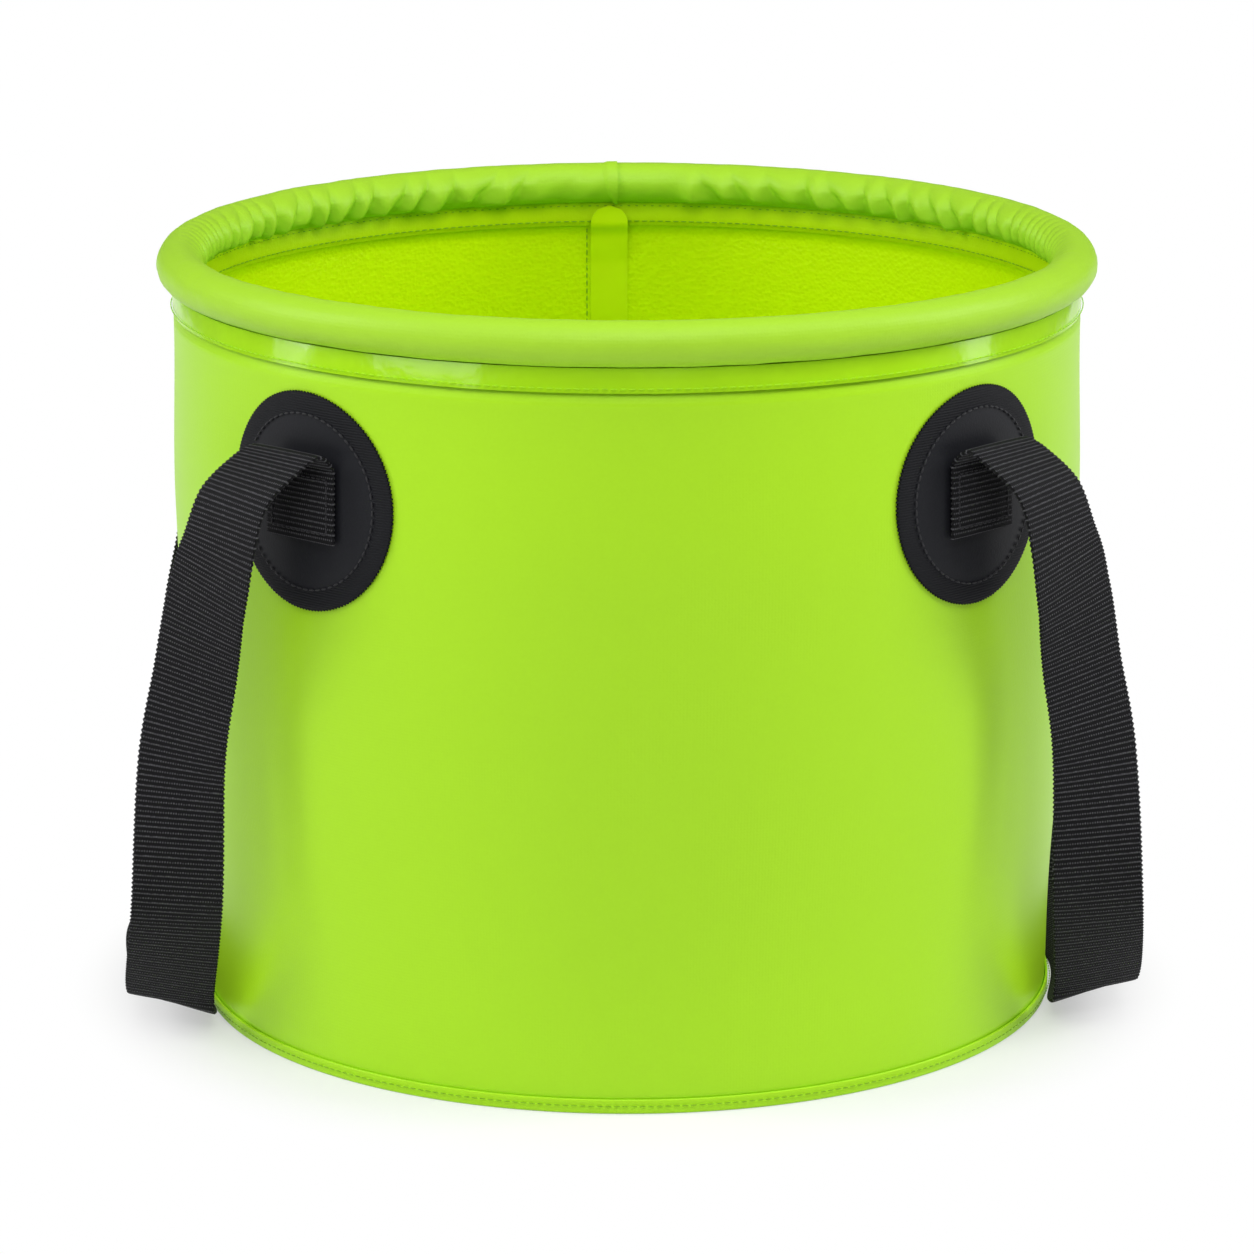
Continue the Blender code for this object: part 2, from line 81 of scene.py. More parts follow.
SIDES = {"left": -1, "right": 1}
ENDS = {"front": -1, "rear": 1}
CORNERS = [(side, end) for side in SIDES for end in ENDS]

# Radius of the black thread and of the green one
THREAD_RADIUS = 0.00035
FINE_THREAD_RADIUS = 0.00024
# Faces round a stitch and along it
STITCH_ROUND, STITCH_ALONG = 8, 6
# Height of the ramp by which the upright tape climbs onto the hem
RAMP_HEIGHT = 0.012
# Thickness to which the hem's pressed edge thins out, and its colour as a share of the wall's inside
HEM_EDGE = 0.0002
HEM_SHADE = 0.88

# Wall's swell past its straight line: (reach, depth under the tape at which it is reached), and the heights
# between which it grows from nothing
SWELLS = ((0.0018, 0.003), (0.0026, 0.07))
SWELL_HEIGHTS = (0.02, 0.165)
# Wall's sag: where it starts above the foot, under the top, and in radians from the seam
SAG_ABOVE_FOOT = (0.008, 0.05)
SAG_UNDER_TOP = (0.04, 0.11)
SAG_FROM_SEAM = (0.10, 0.25)
# Its waves: their number round the wall, up it, their shift and their share
SAG_WAVES = ((2.6, 9, 0, 0.7), (1.1, 3, 5, 0.6))

# Base: shares of its radius at which the rings of its underside and its floor start, and their counts
UNDERSIDE_START, UNDERSIDE_RINGS = 0.1, 8
FLOOR_START, FLOOR_RINGS = 0.02, 60
# Steps round its lower edge, over its lip, and in the bend of the tape inside its corner
UNDER_STEPS, LIP_STEPS, BEND_STEPS = 6, 8, 8
# Soft waves of its floor: height, number in a metre, and the radii over which they fade
FLOOR_WAVE = 0.0009
FLOOR_WAVES = 22
FLOOR_WAVE_FADE = (0.118, 0.139)

# Upright tape: thickness, least share of its width at its head's tip, and faces across and along it
STRIP_THICKNESS = 0.0005
STRIP_TIP = 0.02
STRIP_COLUMNS, STRIP_ROWS = 20, 160
# Steps over which its ramp is evened out, and how far off the wall the stitches beside it stand, as a share
# of the thread's radius
RAMP_STEPS = 12
STITCH_SEAT = 0.8

# Webbing route, as the frame's straps run: sewn end, fold, and the leg down to the loop's lowest point
PATCH_STANDOFF = 0.0016
PATCH_TURN = math.radians(45.7)
WEBBING_THICKNESS = 0.0018
WEBBING_WIDTH = 0.0320
SEWN_DROP = 0.0124
SEWN_LENGTH = 0.0252
FOLD_REACH = 0.0059
FOLD_RISE = 0.0054
LOOP_FLOOR_GAP = 0.0096
LOOP_WALL_GAP = 0.0017
LOOP_DIP_DEG = 32.0
SQUARE_DROP_SHARE = 1.6
LEG_ROUTE_SHARES = (
    (0.141, 0.984, 0.979),
    (0.361, 0.994, 0.924),
    (0.476, 0.978, 0.836),
    (0.564, 0.919, 0.744),
    (0.649, 0.848, 0.623),
    (0.757, 0.824, 0.470),
    (0.812, 0.799, 0.230),
    (0.900, 0.566, 0.045),
    (0.890, 0.430, 0.004),
)
LEG_TURN_SHARES = (0.03, 0.02, 0.08, 0.16, 0.30, 0.45, 0.72, 0.86, 0.90)
# Turn at which the leg faces the front squarely, before it dips towards the loop's lowest point
FRONT_FACING_TURN = 0.75
ROUTE_STEPS = 48

# Patches: the ring of stitches, and the widths of the rings of faces inwards from the edge
PATCH_STITCH_RADIUS = 0.0300
PATCH_RINGS = (0.0004, 0.0010, 0.0030, 0.0024, 0.0012, 0.0012, 0.0040, 0.0050, 0.0060, 0.0060)
# Heights of a patch's underside and face off the wall, how its edge rounds off, and the dip at its stitches
PATCH_LIFTS = (0.0003, 0.0013)
EDGE_DROP, EDGE_WIDTH = 0.0004, 0.0012
DIP_DEPTH, DIP_WIDTH = 0.00025, 0.0012
# Where a tooth's middle lies inside the patch's radius, half its height, and the faces of its edge
TOOTH_INSET, TOOTH_HEIGHT, TOOTH_FACES = 0.00025, 0.00035, 4

# Webbing: faces round its section and along each rib, how deep its selvedge is notched, and the power that
# makes its section flat with round edges
WEBBING_ROUND, RIB_FACES = 28, 4
SELVEDGE_NOTCH = 0.0003
WEBBING_FLATNESS = 0.22
# Closeness at which two corners of webbing are one
RIBBON_WELD = 0.000005
BOX_STITCH_INSET = 0.0032

# Direction on the rim's section in which its gathers are deepest, inwards and a little down
PUCKER_MIDDLE = math.radians(205)
# Puckers inside the rim: degrees from the lap at the back towards +X, their spacing and their fullness
PUCKER_STOPS = (
    (-180, 0.0085, 0.16),
    (-100, 0.0060, 0.30),
    (-78, 0.0062, 0.60),
    (-62, 0.0100, 0.90),
    (-40, 0.0112, 1.00),
    (-20, 0.0130, 1.00),
    (-13, 0.0160, 0.80),
    (-9, 0.0220, 0.20),
    (9, 0.0220, 0.05),
    (13, 0.0120, 0.95),
    (24, 0.0150, 1.05),
    (36, 0.0122, 1.00),
    (60, 0.0115, 0.90),
    (76, 0.0066, 0.60),
    (100, 0.0060, 0.30),
    (180, 0.0085, 0.16),
)
# How proud a full pucker's finger stands, and how deep its crease, its pocket and the ripples beside it
FINGER_HEIGHT = 0.0026
CREASE_DEPTH = 0.0003
POCKET_DEPTH = 0.0006
RIPPLE_HEIGHT = 0.0009
# How much longer and higher one finger may be than another
TIP_WANDER = 0.16
FINGER_WANDER = 0.25
# Sharpness of a finger at its root, what its tip adds, and the turns between which it does
ROOT_SHARPNESS, TIP_SHARPNESS = 0.6, 2.4
SHARPEN_TURNS = (2.9, 3.9)
# Turns at which a pocket starts, is deepest, starts to close and ends
POCKET_TURNS = (2.9, 3.4, 4.0, 4.3)
# Ripples: how much of a fold lies under them, how far ahead of the crease they start, and their fade
RIPPLE_LEVEL = 0.6
RIPPLE_LEAD = 0.9
FADE_TURN = 0.3
# The least fullness at which the ripples are at their full height
RIPPLE_FULLNESS = 1 / 1.5
# The gathers' slant and the angle from the lap over which it turns over, and where their creases start
SLANT, SLANT_ANGLE = -0.3, 0.3
CREASE_START = math.radians(104)
# How the count, the slant and the start wander round the rim: number of waves, shift and reach
COUNT_WANDER = (14, 3, 0.3)
SLANT_WANDER = (9, 0, 0.35)
START_WANDER = (30, 7, math.radians(26))
# Steps round the rim at which the gathers are counted
PUCKER_TABLE_STEPS = 1440
# How far a fold may sink before it meets the foam
SLEEVE_SLACK = 0.0004
# Turns on the rim's section at which the fingers start to swell, are fullest, start to fall and end
FINGER_TURNS = tuple(math.radians(d) for d in (112, 196, 206, 236))
# Small wrinkles in a metre along each axis, finer ones and their share, and how far they may sink
WRINKLES = Vector((70, 70, 110))
FINE_WRINKLES = 190
FINE_WRINKLE_SHARE = 0.4
WRINKLE_SLACK = 0.00015
# Degrees on the rim's section at which its bands of faces start, and the faces of each band
TUBE_TOP_DEG, TUBE_GATHERS_DEG = 80, 170
TUBE_OUTER, TUBE_UPPER, TUBE_INNER = 14, 10, 26
# Faces down its inner hem, round its hollow and down its outer one, and down the tape below it
HEM_STEPS, HOLLOW_STEPS, FACE_STEPS, TAPE_STEPS = 4, 6, 3, 10
# Lap of the sleeve: its ends in degrees, its thickness, how far its edge stands off the sleeve, and the
# angles from it at which the wrinkles stop
LAP_DEG = (96, 250)
LAP_THICKNESS = 0.0006
LAP_LIFT = 0.0001
LAP_MARGIN = (0.02, 0.05)
# How much of its width it loses towards its lower end, from where, and where its left edge has risen
LAP_TAPER, LAP_TAPER_FROM, LAP_RISEN = 0.7, 0.4, -0.1
# Faces across it and along it
LAP_COLUMNS, LAP_ROWS = 10, 60
# Waves of the rim's tape: number in a metre along each axis, height, and how far it clears the wall
TAPE_WAVES = Vector((60, 60, 12))
TAPE_WAVE = 0.0002
TAPE_CLEARANCE = 0.0012
# How many times finer than the wall it is round the rim
TAPE_FINER = 3
# Small stitches under the tube: how far under it, and their length and thickness beside the hem's
TUBE_STITCH_DROP = 0.0009
TUBE_STITCH_SHARE, TUBE_STITCH_THINNER = 0.4, 0.8

# Lamps: degrees from the front towards +X, degrees up, width, height and power in W at 1.7 m
LAMP_REACH, LAMP_AIM_HEIGHT = 1.7, 0.14
LAMPS = {
    "front_lamp": (0, 47, 1.0, 1.0, 13.4),
    "window_lamp": (-50, 25, 0.8, 0.5, 2.6),
    "fill_lamp": (50, 60, 0.8, 0.8, 3.0),
    "left_low_lamp": (-90, 10, 0.3, 0.8, 1.4),
    "right_low_lamp": (90, 10, 0.3, 0.8, 1.8),
    "left_lamp": (-90, 30, 0.3, 0.8, 6.8),
    "right_lamp": (90, 30, 0.3, 0.8, 7.6),
    "left_near_lamp": (-75, 37, 0.3, 0.8, 3.8),
    "right_near_lamp": (75, 37, 0.3, 0.8, 4.0),
    "left_top_lamp": (-60, 70, 1.0, 1.0, 2.7),
    "right_top_lamp": (60, 70, 1.0, 1.0, 2.7),
}
# Floor: radii between which the bucket's shadow fades out, the least share of plain white, and its size
SHADOW_EDGE = (0.155, 0.205)
NEAR_GLOW = 0.45
FLOOR_RADIUS, FLOOR_SIDES = 6, 64
SENSOR_WIDTH_MM = 36


# Settings


def colour_of(name, what, default):
    return bpy.props.FloatVectorProperty(name=name, description=what, subtype="COLOR", default=default)


def length_of(name, what, default):
    return bpy.props.FloatProperty(name=name, description=what, unit="LENGTH", default=default)


def share_of(name, what, default):
    return bpy.props.FloatProperty(name=name, description=what, subtype="FACTOR", default=default)


def angle_of(name, what, degrees):
    angle = math.radians(degrees)
    return bpy.props.FloatProperty(name=name, description=what, subtype="ANGLE", default=angle)


def count_of(name, what, default):
    return bpy.props.IntProperty(name=name, description=what, default=default)


class BucketFabric(bpy.types.PropertyGroup):
    """Colours and grain of the coated fabric."""

    outside: colour_of("Outside", "Colour of the wall's outside", (0.425, 0.79, 0.014))
    inside: colour_of("Inside", "Colour of the wall's inside", (0.62, 0.89, 0.001))
    sleeve: colour_of("Sleeve", "Colour of the rim's sleeve", (0.39, 0.70, 0.030))
    tape: colour_of("Tape", "Colour of the welded tapes", (0.43, 0.81, 0.006))
    thread: colour_of("Thread", "Colour of the green thread", (0.22, 0.46, 0.003))
    slack: length_of("Slack", "How far the wall sags inwards", 0.0008)
    around: count_of("Columns", "Faces round the wall", 240)
    rows: count_of("Rows", "Faces up the wall", 110)


class BucketRim(bpy.types.PropertyGroup):
    """Shape of the padded rim."""

    around: count_of("Columns", "Faces round the rim", 1320)
    fill: share_of("Fill", "How tightly the foam fills the sleeve", 0.9)
    wrinkle: length_of("Wrinkles", "Height of the sleeve's small wrinkles", 0.00022)
    foam: colour_of("Foam", "Colour of the foam", (0.78, 0.78, 0.75))
    wire: colour_of("Wire", "Colour of the hoop wire", (0.55, 0.55, 0.57))


class BucketStitches(bpy.types.PropertyGroup):
    """Pitches of the stitched rows."""

    base_pitch: length_of("Base", "Stitch pitch round the base", 0.0029)
    hem_pitch: length_of("Hem", "Stitch pitch on the hem and tape", 0.0030)
    patch_pitch: length_of("Patch", "Stitch pitch on the patches", 0.0029)
    box_pitch: length_of("Box", "Stitch pitch on the sewn ends", 0.0024)
    length_share: share_of("Length", "Stitch length as a share of its pitch", 0.78)


class BucketHandles(bpy.types.PropertyGroup):
    """Webbing straps and their patches."""

    webbing: colour_of("Webbing", "Colour of the webbing", (0.0050, 0.0050, 0.0060))
    # Painted highlight of the webbing: a pale colour laid on its rib crests in place of the light they
    # catch
    webbing_painted_glint: colour_of("Webbing Glint", "Colour of its pale yarns", (0.110, 0.110, 0.120))
    patch: colour_of("Patch", "Colour of the patches", (0.0105, 0.0110, 0.0140))
    patch_thread: colour_of("Patch Thread", "Colour of the black thread", (0.020, 0.020, 0.023))
    rib_pitch: length_of("Rib Pitch", "Distance between the webbing's ribs", 0.00175)
    rib_height: length_of("Rib Height", "How proud a rib stands", 0.00014)
    tooth_pitch: length_of("Tooth Pitch", "Pitch of the patch's pinked edge", 0.0014)


class BucketStage(bpy.types.PropertyGroup):
    """Camera, floor and lamps."""

    lens: bpy.props.FloatProperty(name="Lens", description="Camera lens in mm", default=148.6)
    distance: length_of("Distance", "Camera's distance from the bucket's axis", 1.805)
    height: length_of("Height", "Camera's height", 0.594)
    pitch: angle_of("Pitch", "How far the camera looks down", 14.4)
    yaw: angle_of("Yaw", "How far the camera stands to the left", 2.5)
    light: bpy.props.FloatProperty(name="Lamps", description="Share of the lamps' full power", default=1.0)
    ambient: share_of("Ambient", "Strength of the room's light", 0.03)
    mirrored: share_of("Mirrored", "Strength of the room in reflections", 0.15)


GROUPS = {
    "bucket_fabric": BucketFabric,
    "bucket_rim": BucketRim,
    "bucket_stitches": BucketStitches,
    "bucket_handles": BucketHandles,
    "bucket_stage": BucketStage,
}


# Shader maths


class Value:
    """A number that varies over a surface, so that sums with it read as they do on paper."""

    def __init__(self, nodes, socket):
        self.nodes, self.socket = nodes, socket

    def maths(self, operation, *others, first=None):
        terms = dict(enumerate([self, *others] if first is None else [first, self]))
        made = self.nodes.node("ShaderNodeMath", {"operation": operation}, terms)
        return Value(self.nodes, made.outputs[0])

    def __add__(self, other):
        return self.maths("ADD", other)

    def __radd__(self, other):
        return self.maths("ADD", other)

    def __sub__(self, other):
        return self.maths("SUBTRACT", other)

    def __rsub__(self, other):
        return self.maths("SUBTRACT", first=other)

    def __mul__(self, other):
        return self.maths("MULTIPLY", other)

    def __rmul__(self, other):
        return self.maths("MULTIPLY", other)

    def __pow__(self, other):
        return self.maths("POWER", other)

    def about(self, middle, spread):
        """A share of 0 to 1 as a number that varies about a middle by a spread in all."""
        return (self - 0.5) * spread + middle

    def wave(self, pitch):
        """A wave from 0 to 1 of this pitch, highest where the value is a whole number of pitches."""
        return (self * (FULL_TURN / pitch)).maths("COSINE") * 0.5 + 0.5

    def step(self, low, high):
        """0 below low and 1 above high, and smooth between them."""
        made = self.nodes.node(
            "ShaderNodeMapRange",
            {"interpolation_type": "SMOOTHSTEP"},
            {"Value": self, "From Min": low, "From Max": high},
        )
        return Value(self.nodes, made.outputs["Result"])


class Nodes:
    """A node tree, to which nodes and sums are added."""

    def __init__(self, tree):
        self.tree = tree

    def join(self, value, socket):
        value = getattr(value, "socket", value)
        if isinstance(value, bpy.types.NodeSocket):
            self.tree.links.new(value, socket)
        else:
            socket.default_value = value

    def node(self, kind, settings=None, values=None):
        """A node of a kind, with its settings and then its sockets' values or links."""
        made = self.tree.nodes.new(kind)
        for key, setting in (settings or {}).items():
            setattr(made, key, setting)
        for key, value in (values or {}).items():
            self.join(value, made.inputs[key])
        return made

    def value(self, kind, settings, values, output=0):
        return Value(self, self.node(kind, settings, values).outputs[output])

    def parts(self, vector):
        """The three parts of a vector, as values."""
        made = self.node("ShaderNodeSeparateXYZ", {}, {0: vector})
        return [Value(self, socket) for socket in made.outputs]

    def vector(self, x, y, z):
        return self.node("ShaderNodeCombineXYZ", {}, {0: x, 1: y, 2: z}).outputs[0]

    def noise(self, place, scale, detail=2):
        values = {"Vector": place, "Scale": scale, "Detail": detail, "Roughness": 0.5}
        return self.value("ShaderNodeTexNoise", {}, values, "Fac")

    def cells(self, place, scale):
        """The distance from the middles of cells."""
        return self.value("ShaderNodeTexVoronoi", {}, {"Vector": place, "Scale": scale}, "Distance")

    def mixed(self, share, first, second):
        """The colour between two, by a share."""
        made = self.node("ShaderNodeMix", {"data_type": "RGBA"}, {"Factor": share})
        ends = [s for s in made.inputs if s.type == "RGBA"]
        for socket, colour in zip(ends, (first, second)):
            self.join(as_colour(colour), socket)
        return next(s for s in made.outputs if s.type == "RGBA")


class Finish(Nodes):
    """A material whose constants stand on its own surface node."""

    def __init__(self, name, constants):
        self.material = bpy.data.materials.new(name)
        self.material.use_nodes = True
        super().__init__(self.material.node_tree)
        self.surface = self.tree.nodes["Principled BSDF"]
        for key, constant in constants.items():
            self.surface.inputs[key].default_value = as_colour(constant)

    def place(self, attribute=None):
        """Where a point is on the object, or the place kept in an attribute of the mesh."""
        if attribute is None:
            return self.node("ShaderNodeTexCoord").outputs["Object"]
        return self.node("ShaderNodeAttribute", {"attribute_name": attribute}).outputs["Vector"]

    def paint(self, colour=None, roughness=None, height=None):
        """Feed what varies: the colour, the roughness and the height of the surface in metres."""
        if colour is not None:
            self.join(colour, self.surface.inputs["Base Color"])
        if roughness is not None:
            self.join(roughness, self.surface.inputs["Roughness"])
        if height is not None:
            bump = self.node("ShaderNodeBump", {}, {"Strength": 1.0, "Distance": 1.0, "Height": height})
            self.join(bump.outputs["Normal"], self.surface.inputs["Normal"])
        return self.material


def as_colour(value):
    """A colour of three numbers with its alpha, or the value itself."""
    if hasattr(value, "__len__") and len(value) == 3:
        return (*value, 1.0)
    return value


def shaded(colour, share):
    return tuple(part * share for part in colour)


# Finishes: how many features there are in a metre, and how proud each stands

SLOW_TONES, GRAINS, PEBBLES = 9, 900, 620
WEAVE_PITCH, WEAVE_RADIUS, WEAVE_SHARE = 0.0011, 0.155, 0.4
TONE_DEPTH, PEBBLE_TONE = 0.16, 900
TAPE_RIPPLES, TAPE_RIPPLE = 60, 0.0005
TAPE_GRAINS, TAPE_GRAIN = 700, 0.00003
# Slope at the middle of the rim's tape, as it follows the roll of the hem, and half its curve up the tape
TAPE_LEAN, TAPE_CURVE = 0.29, 5
FIBRES, FIBRE = 2600, 0.00008
PATCH_GRAINS, PATCH_GRAIN, GRAIN_SHARE = 1500, 0.00006, 0.6
PATCH_TONES, PATCH_RIB, EDGE_SHADE = 40, 0.00012, 0.35
YARN_PITCH, YARN, YARN_GLINT = 0.0009, 0.0002, 1.5
YARN_WOBBLES, YARN_WOBBLE, YARN_GRAIN = 700, 0.0004, 0.0001
# How much more of the painted highlight and of the yarn's relief shows in a full row than in a dashed one,
# between its dots
FULL_ROW = 0.45
FOAM_CELLS, FOAM_CELL, CELL_SHADE = 1400, 0.0003, 0.8
WIRE_MARKS, WIRE_MARK, MARK_SHADE = 500, 0.00004, 0.85


def varied(finish, share, colour, spread):
    """A colour that goes from a spread below to a spread above its own."""
    return finish.mixed(share, shaded(colour, 1 - spread), shaded(colour, 1 + spread))


def fabric_finish(name, colour, roughness, grain, place_from=None, pebble=0.0):
    """Coated polyester: a fine weave under a smooth film, with slow changes of tone."""
    finish = Finish(name, {"IOR": 1.46, "Specular IOR Level": 0.3})
    place = finish.place(place_from)
    slow, fine = finish.noise(place, SLOW_TONES, 3), finish.noise(place, GRAINS)
    pebbles = finish.cells(place, PEBBLES)
    x, y, z = finish.parts(place)
    weave = (x.maths("ARCTAN2", y) * WEAVE_RADIUS).wave(WEAVE_PITCH) * z.wave(WEAVE_PITCH)
    tone = (slow + fine - 1) * TONE_DEPTH + pebbles.about(0.5, spread=pebble * PEBBLE_TONE)
    height = fine * grain + weave * (grain * WEAVE_SHARE) + pebbles * pebble
    tone = varied(finish, tone, colour, spread=0.10)
    return finish.paint(tone, slow.about(roughness, spread=0.12), height)


def tape_finish(name, colour, roughness=0.16, place_from=None, middle=None):
    """A shiny film of clear-faced tape with faint ripples, which leans inwards above its middle."""
    finish = Finish(name, {"IOR": 1.5, "Specular IOR Level": 0.6})
    place = finish.place(place_from)
    ripples, fine = finish.noise(place, TAPE_RIPPLES, 3), finish.noise(place, TAPE_GRAINS)
    height = ripples * TAPE_RIPPLE + fine * TAPE_GRAIN
    if middle is not None:
        above = finish.parts(place)[2] - middle
        height = height - above * TAPE_LEAN - above * above * TAPE_CURVE
    tone = varied(finish, ripples, colour, spread=0.07)
    return finish.paint(tone, ripples.about(roughness, spread=0.2), height)


def thread_finish(name, colour):
    """Spun thread, whose fibres show as fine streaks."""
    finish = Finish(name, {"Sheen Weight": 0.04, "Sheen Roughness": 0.5, "Specular IOR Level": 0.3})
    fibres = finish.noise(finish.place(), FIBRES)
    tone = varied(finish, fibres, colour, spread=0.25)
    return finish.paint(tone, fibres.about(0.6, spread=0.2), fibres * FIBRE)


def patch_finish(colour):
    """Black coated cloth, smoother in the middle and finely ribbed towards its edge."""
    finish = Finish("patch_cloth", {"IOR": 1.45, "Specular IOR Level": 0.2})
    place = finish.place()
    grain, slow = finish.noise(place, PATCH_GRAINS), finish.noise(place, PATCH_TONES)
    u, v, _ = finish.parts(finish.place("patch_place"))
    edge = ((u * u + v * v) ** 0.5).step(PATCH_STITCH_RADIUS, PATCH_STITCH_RADIUS + DIP_WIDTH)
    tone = varied(finish, grain * GRAIN_SHARE + slow * (1 - GRAIN_SHARE), colour, spread=0.2)
    tone = finish.mixed(edge * 0.5, tone, shaded(colour, EDGE_SHADE))
    height = grain * PATCH_GRAIN + v.wave(YARN_PITCH) * edge * PATCH_RIB
    return finish.paint(tone, edge.about(0.58, spread=0.16), height)


def webbing_finish(colour, glint, pitch):
    """Woven webbing: ribs across it, whose crests carry a painted highlight in full rows that alternate
    with dashed ones.
    """
    sheen = {"Sheen Weight": 0.02, "Sheen Roughness": 0.6}
    finish = Finish("webbing_weave", {"Specular IOR Level": 0.12, **sheen})
    along, across, _ = finish.parts(finish.node("ShaderNodeUVMap", {"uv_map": "weave"}).outputs[0])
    wobble = finish.noise(finish.vector(along, across, 0), YARN_WOBBLES)
    row = (along + (wobble - 0.5) * YARN_WOBBLE).wave(pitch)
    full_row = along.wave(2 * pitch).step(low=0.35, high=0.65)
    dots = (across + full_row * (YARN_PITCH / 2)).wave(YARN_PITCH).step(low=0.2, high=0.8)
    yarn_and_glint = row.step(low=0.55, high=0.97) * (dots * (1 - full_row * (1 - FULL_ROW)) + full_row * FULL_ROW)
    # Painted highlight: the rib crests take the glint colour in full and dashed rows, and the same rows
    # also raise a real bump
    tone = finish.mixed(yarn_and_glint * (wobble * YARN_GLINT), colour, glint)
    return finish.paint(tone, wobble.about(0.7, spread=0.2), yarn_and_glint * YARN + wobble * YARN_GRAIN)


def foam_finish(colour):
    finish = Finish("foam_cells", {"Specular IOR Level": 0.2})
    cells = finish.cells(finish.place(), FOAM_CELLS)
    tone = finish.mixed(cells, shaded(colour, CELL_SHADE), colour)
    return finish.paint(tone, cells.about(0.85, spread=0.1), cells * FOAM_CELL)


def wire_finish(colour):
    finish = Finish("wire_steel", {"Metallic": 1.0})
    marks = finish.noise(finish.place(), WIRE_MARKS, 3)
    tone = finish.mixed(marks, shaded(colour, MARK_SHADE), colour)
    return finish.paint(tone, marks.about(0.35, spread=0.2), marks * WIRE_MARK)


# Readings of the frame


@functools.cache
def box_of(node):
    """The lowest and highest corner of a node of the frame."""
    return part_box(node)


@functools.cache
def corners_of(node):
    """The (radius, height) corners of a turned node, where it crosses the XZ plane."""
    places = [v.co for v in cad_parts[node].data.vertices]
    return [(co.x, co.z) for co in places if co.x > 0 and abs(co.y) < TOUCH]


def middle_of(node):
    """The (radius, height) middle of a ring's section."""
    corners = corners_of(node)
    low = [min(c[i] for c in corners) for i in (0, 1)]
    high = [max(c[i] for c in corners) for i in (0, 1)]
    return tuple((a + b) / 2 for a, b in zip(low, high))


def slanted_side(node, face):
    """((radius, height) of the foot, of the top) of a turned sheet's outside, 1, or inside, -1."""
    corners = corners_of(node)
    ends = []
    for height in (min(c[1] for c in corners), max(c[1] for c in corners)):
        radii = [r for r, z in corners if abs(z - height) < TOUCH]
        ends.append((max(radii) if face > 0 else min(radii), height))
    return ends


WALL_SIDES = {face: slanted_side("wall_panel", face) for face in (1, -1)}
RIM_CENTRE = middle_of("rim_hoop")
TUBE_RADIUS = box_of("rim_sleeve")[1].x - RIM_CENTRE[0]


def wall_swell(height):
    """How far the soft wall stands out past its straight line: level with the tape, then fuller below."""
    below = box_of("rim_seam_tape")[0].z - height
    swell = sum(reach * smooth_share(below, 0, depth) for reach, depth in SWELLS)
    return swell * smooth_share(height, *SWELL_HEIGHTS)


def wall_radius(height, face=1):
    """The radius of the wall's outside, 1, or inside, -1, at a height."""
    (low, foot), (high, top) = WALL_SIDES[face]
    return low + (high - low) * (height - foot) / (top - foot) + wall_swell(height)


@functools.cache
def patch_centre_height():
    low, high = box_of("patch_front_left")
    return (low.z + high.z) / 2


# Mesh tools


def add_piece(name, shape, materials, body, replaced):
    """A finished bmesh as a piece that rides a body, if any, and stands for nodes of the frame."""
    mesh = bpy.data.meshes.new(name)
    shape.to_mesh(mesh)
    shape.free()
    for material in materials:
        mesh.materials.append(material)
    mesh.shade_smooth()
    mesh.set_sharp_from_angle(angle=math.radians(SHARP_DEG))
    piece = bpy.data.objects.new(name, mesh)
    bpy.context.scene.collection.objects.link(piece)
    if body is not None:
        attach(piece, body)
    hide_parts(*replaced)
    return piece


def face_outwards(shape):
    bmesh.ops.recalc_face_normals(shape, faces=shape.faces)
    if shape.calc_volume(signed=True) < 0:
        bmesh.ops.reverse_faces(shape, faces=shape.faces)


def repeated(shape, count):
    """Repeat what the shape holds round the Z axis, count times in all."""
    bmesh.ops.spin(
        shape,
        geom=shape.verts[:] + shape.edges[:] + shape.faces[:],
        cent=(0, 0, 0),
        axis=(0, 0, 1),
        angle=FULL_TURN * (count - 1) / count,
        steps=count - 1,
        use_duplicate=True,
    )


def turned(outline, steps):
    """A closed outline of (radius, height) points, spun about the Z axis, sector by sector."""
    shape = bmesh.new()
    corners = [shape.verts.new((radius, 0, height)) for radius, height in outline]
    edges = [
        shape.edges.new(pair)
        for pair in zip(corners, corners[1:] + corners[:1])
        if any(corner.co.x > TOUCH for corner in pair)
    ]
    bmesh.ops.spin(
        shape,
        geom=corners + edges,
        cent=(0, 0, 0),
        axis=(0, 0, 1),
        angle=FULL_TURN / SECTORS,
        steps=steps // SECTORS,
    )
    bmesh.ops.remove_doubles(shape, verts=shape.verts, dist=TOUCH)
    repeated(shape, SECTORS)
    bmesh.ops.remove_doubles(shape, verts=shape.verts, dist=TOUCH)
    face_outwards(shape)
    return shape


def arc(centre, radius, first, last, steps):
    """Points on a circle of the (radius, height) plane, from one angle to another."""
    angles = [first + (last - first) * i / steps for i in range(steps + 1)]
    return [(centre[0] + radius * math.cos(a), centre[1] + radius * math.sin(a)) for a in angles]


def line(first, last, steps):
    """Points on a straight line, without its last one."""
    return [
        tuple(a + (b - a) * i / steps for a, b in zip(first, last))
        for i in range(steps)
    ]


def smooth_share(value, low, high):
    """0 at low and 1 at high, and smooth between them."""
    share = min(max((value - low) / (high - low), 0), 1)
    return share * share * (3 - 2 * share)


def between(value, rise, full, fall, end, later=0):
    """1 between full and fall, and 0 outside rise and end; it may fall a little later."""
    return smooth_share(value, rise, full) * (1 - smooth_share(value, fall + later, end + later))


def grown_corners(shape):
    """The corners of a second layer of faces, grown from all that the shape has."""
    grown = bmesh.ops.extrude_face_region(shape, geom=shape.faces[:])
    return [g for g in grown["geom"] if isinstance(g, bmesh.types.BMVert)]


def keep_place(mesh, name):
    """Keep each point's place at rest in an attribute, from which the patterns on the cloth are read."""
    kept = mesh.attributes.new(name, "FLOAT_VECTOR", "POINT")
    kept.data.foreach_set("vector", [part for v in mesh.vertices for part in v.co])


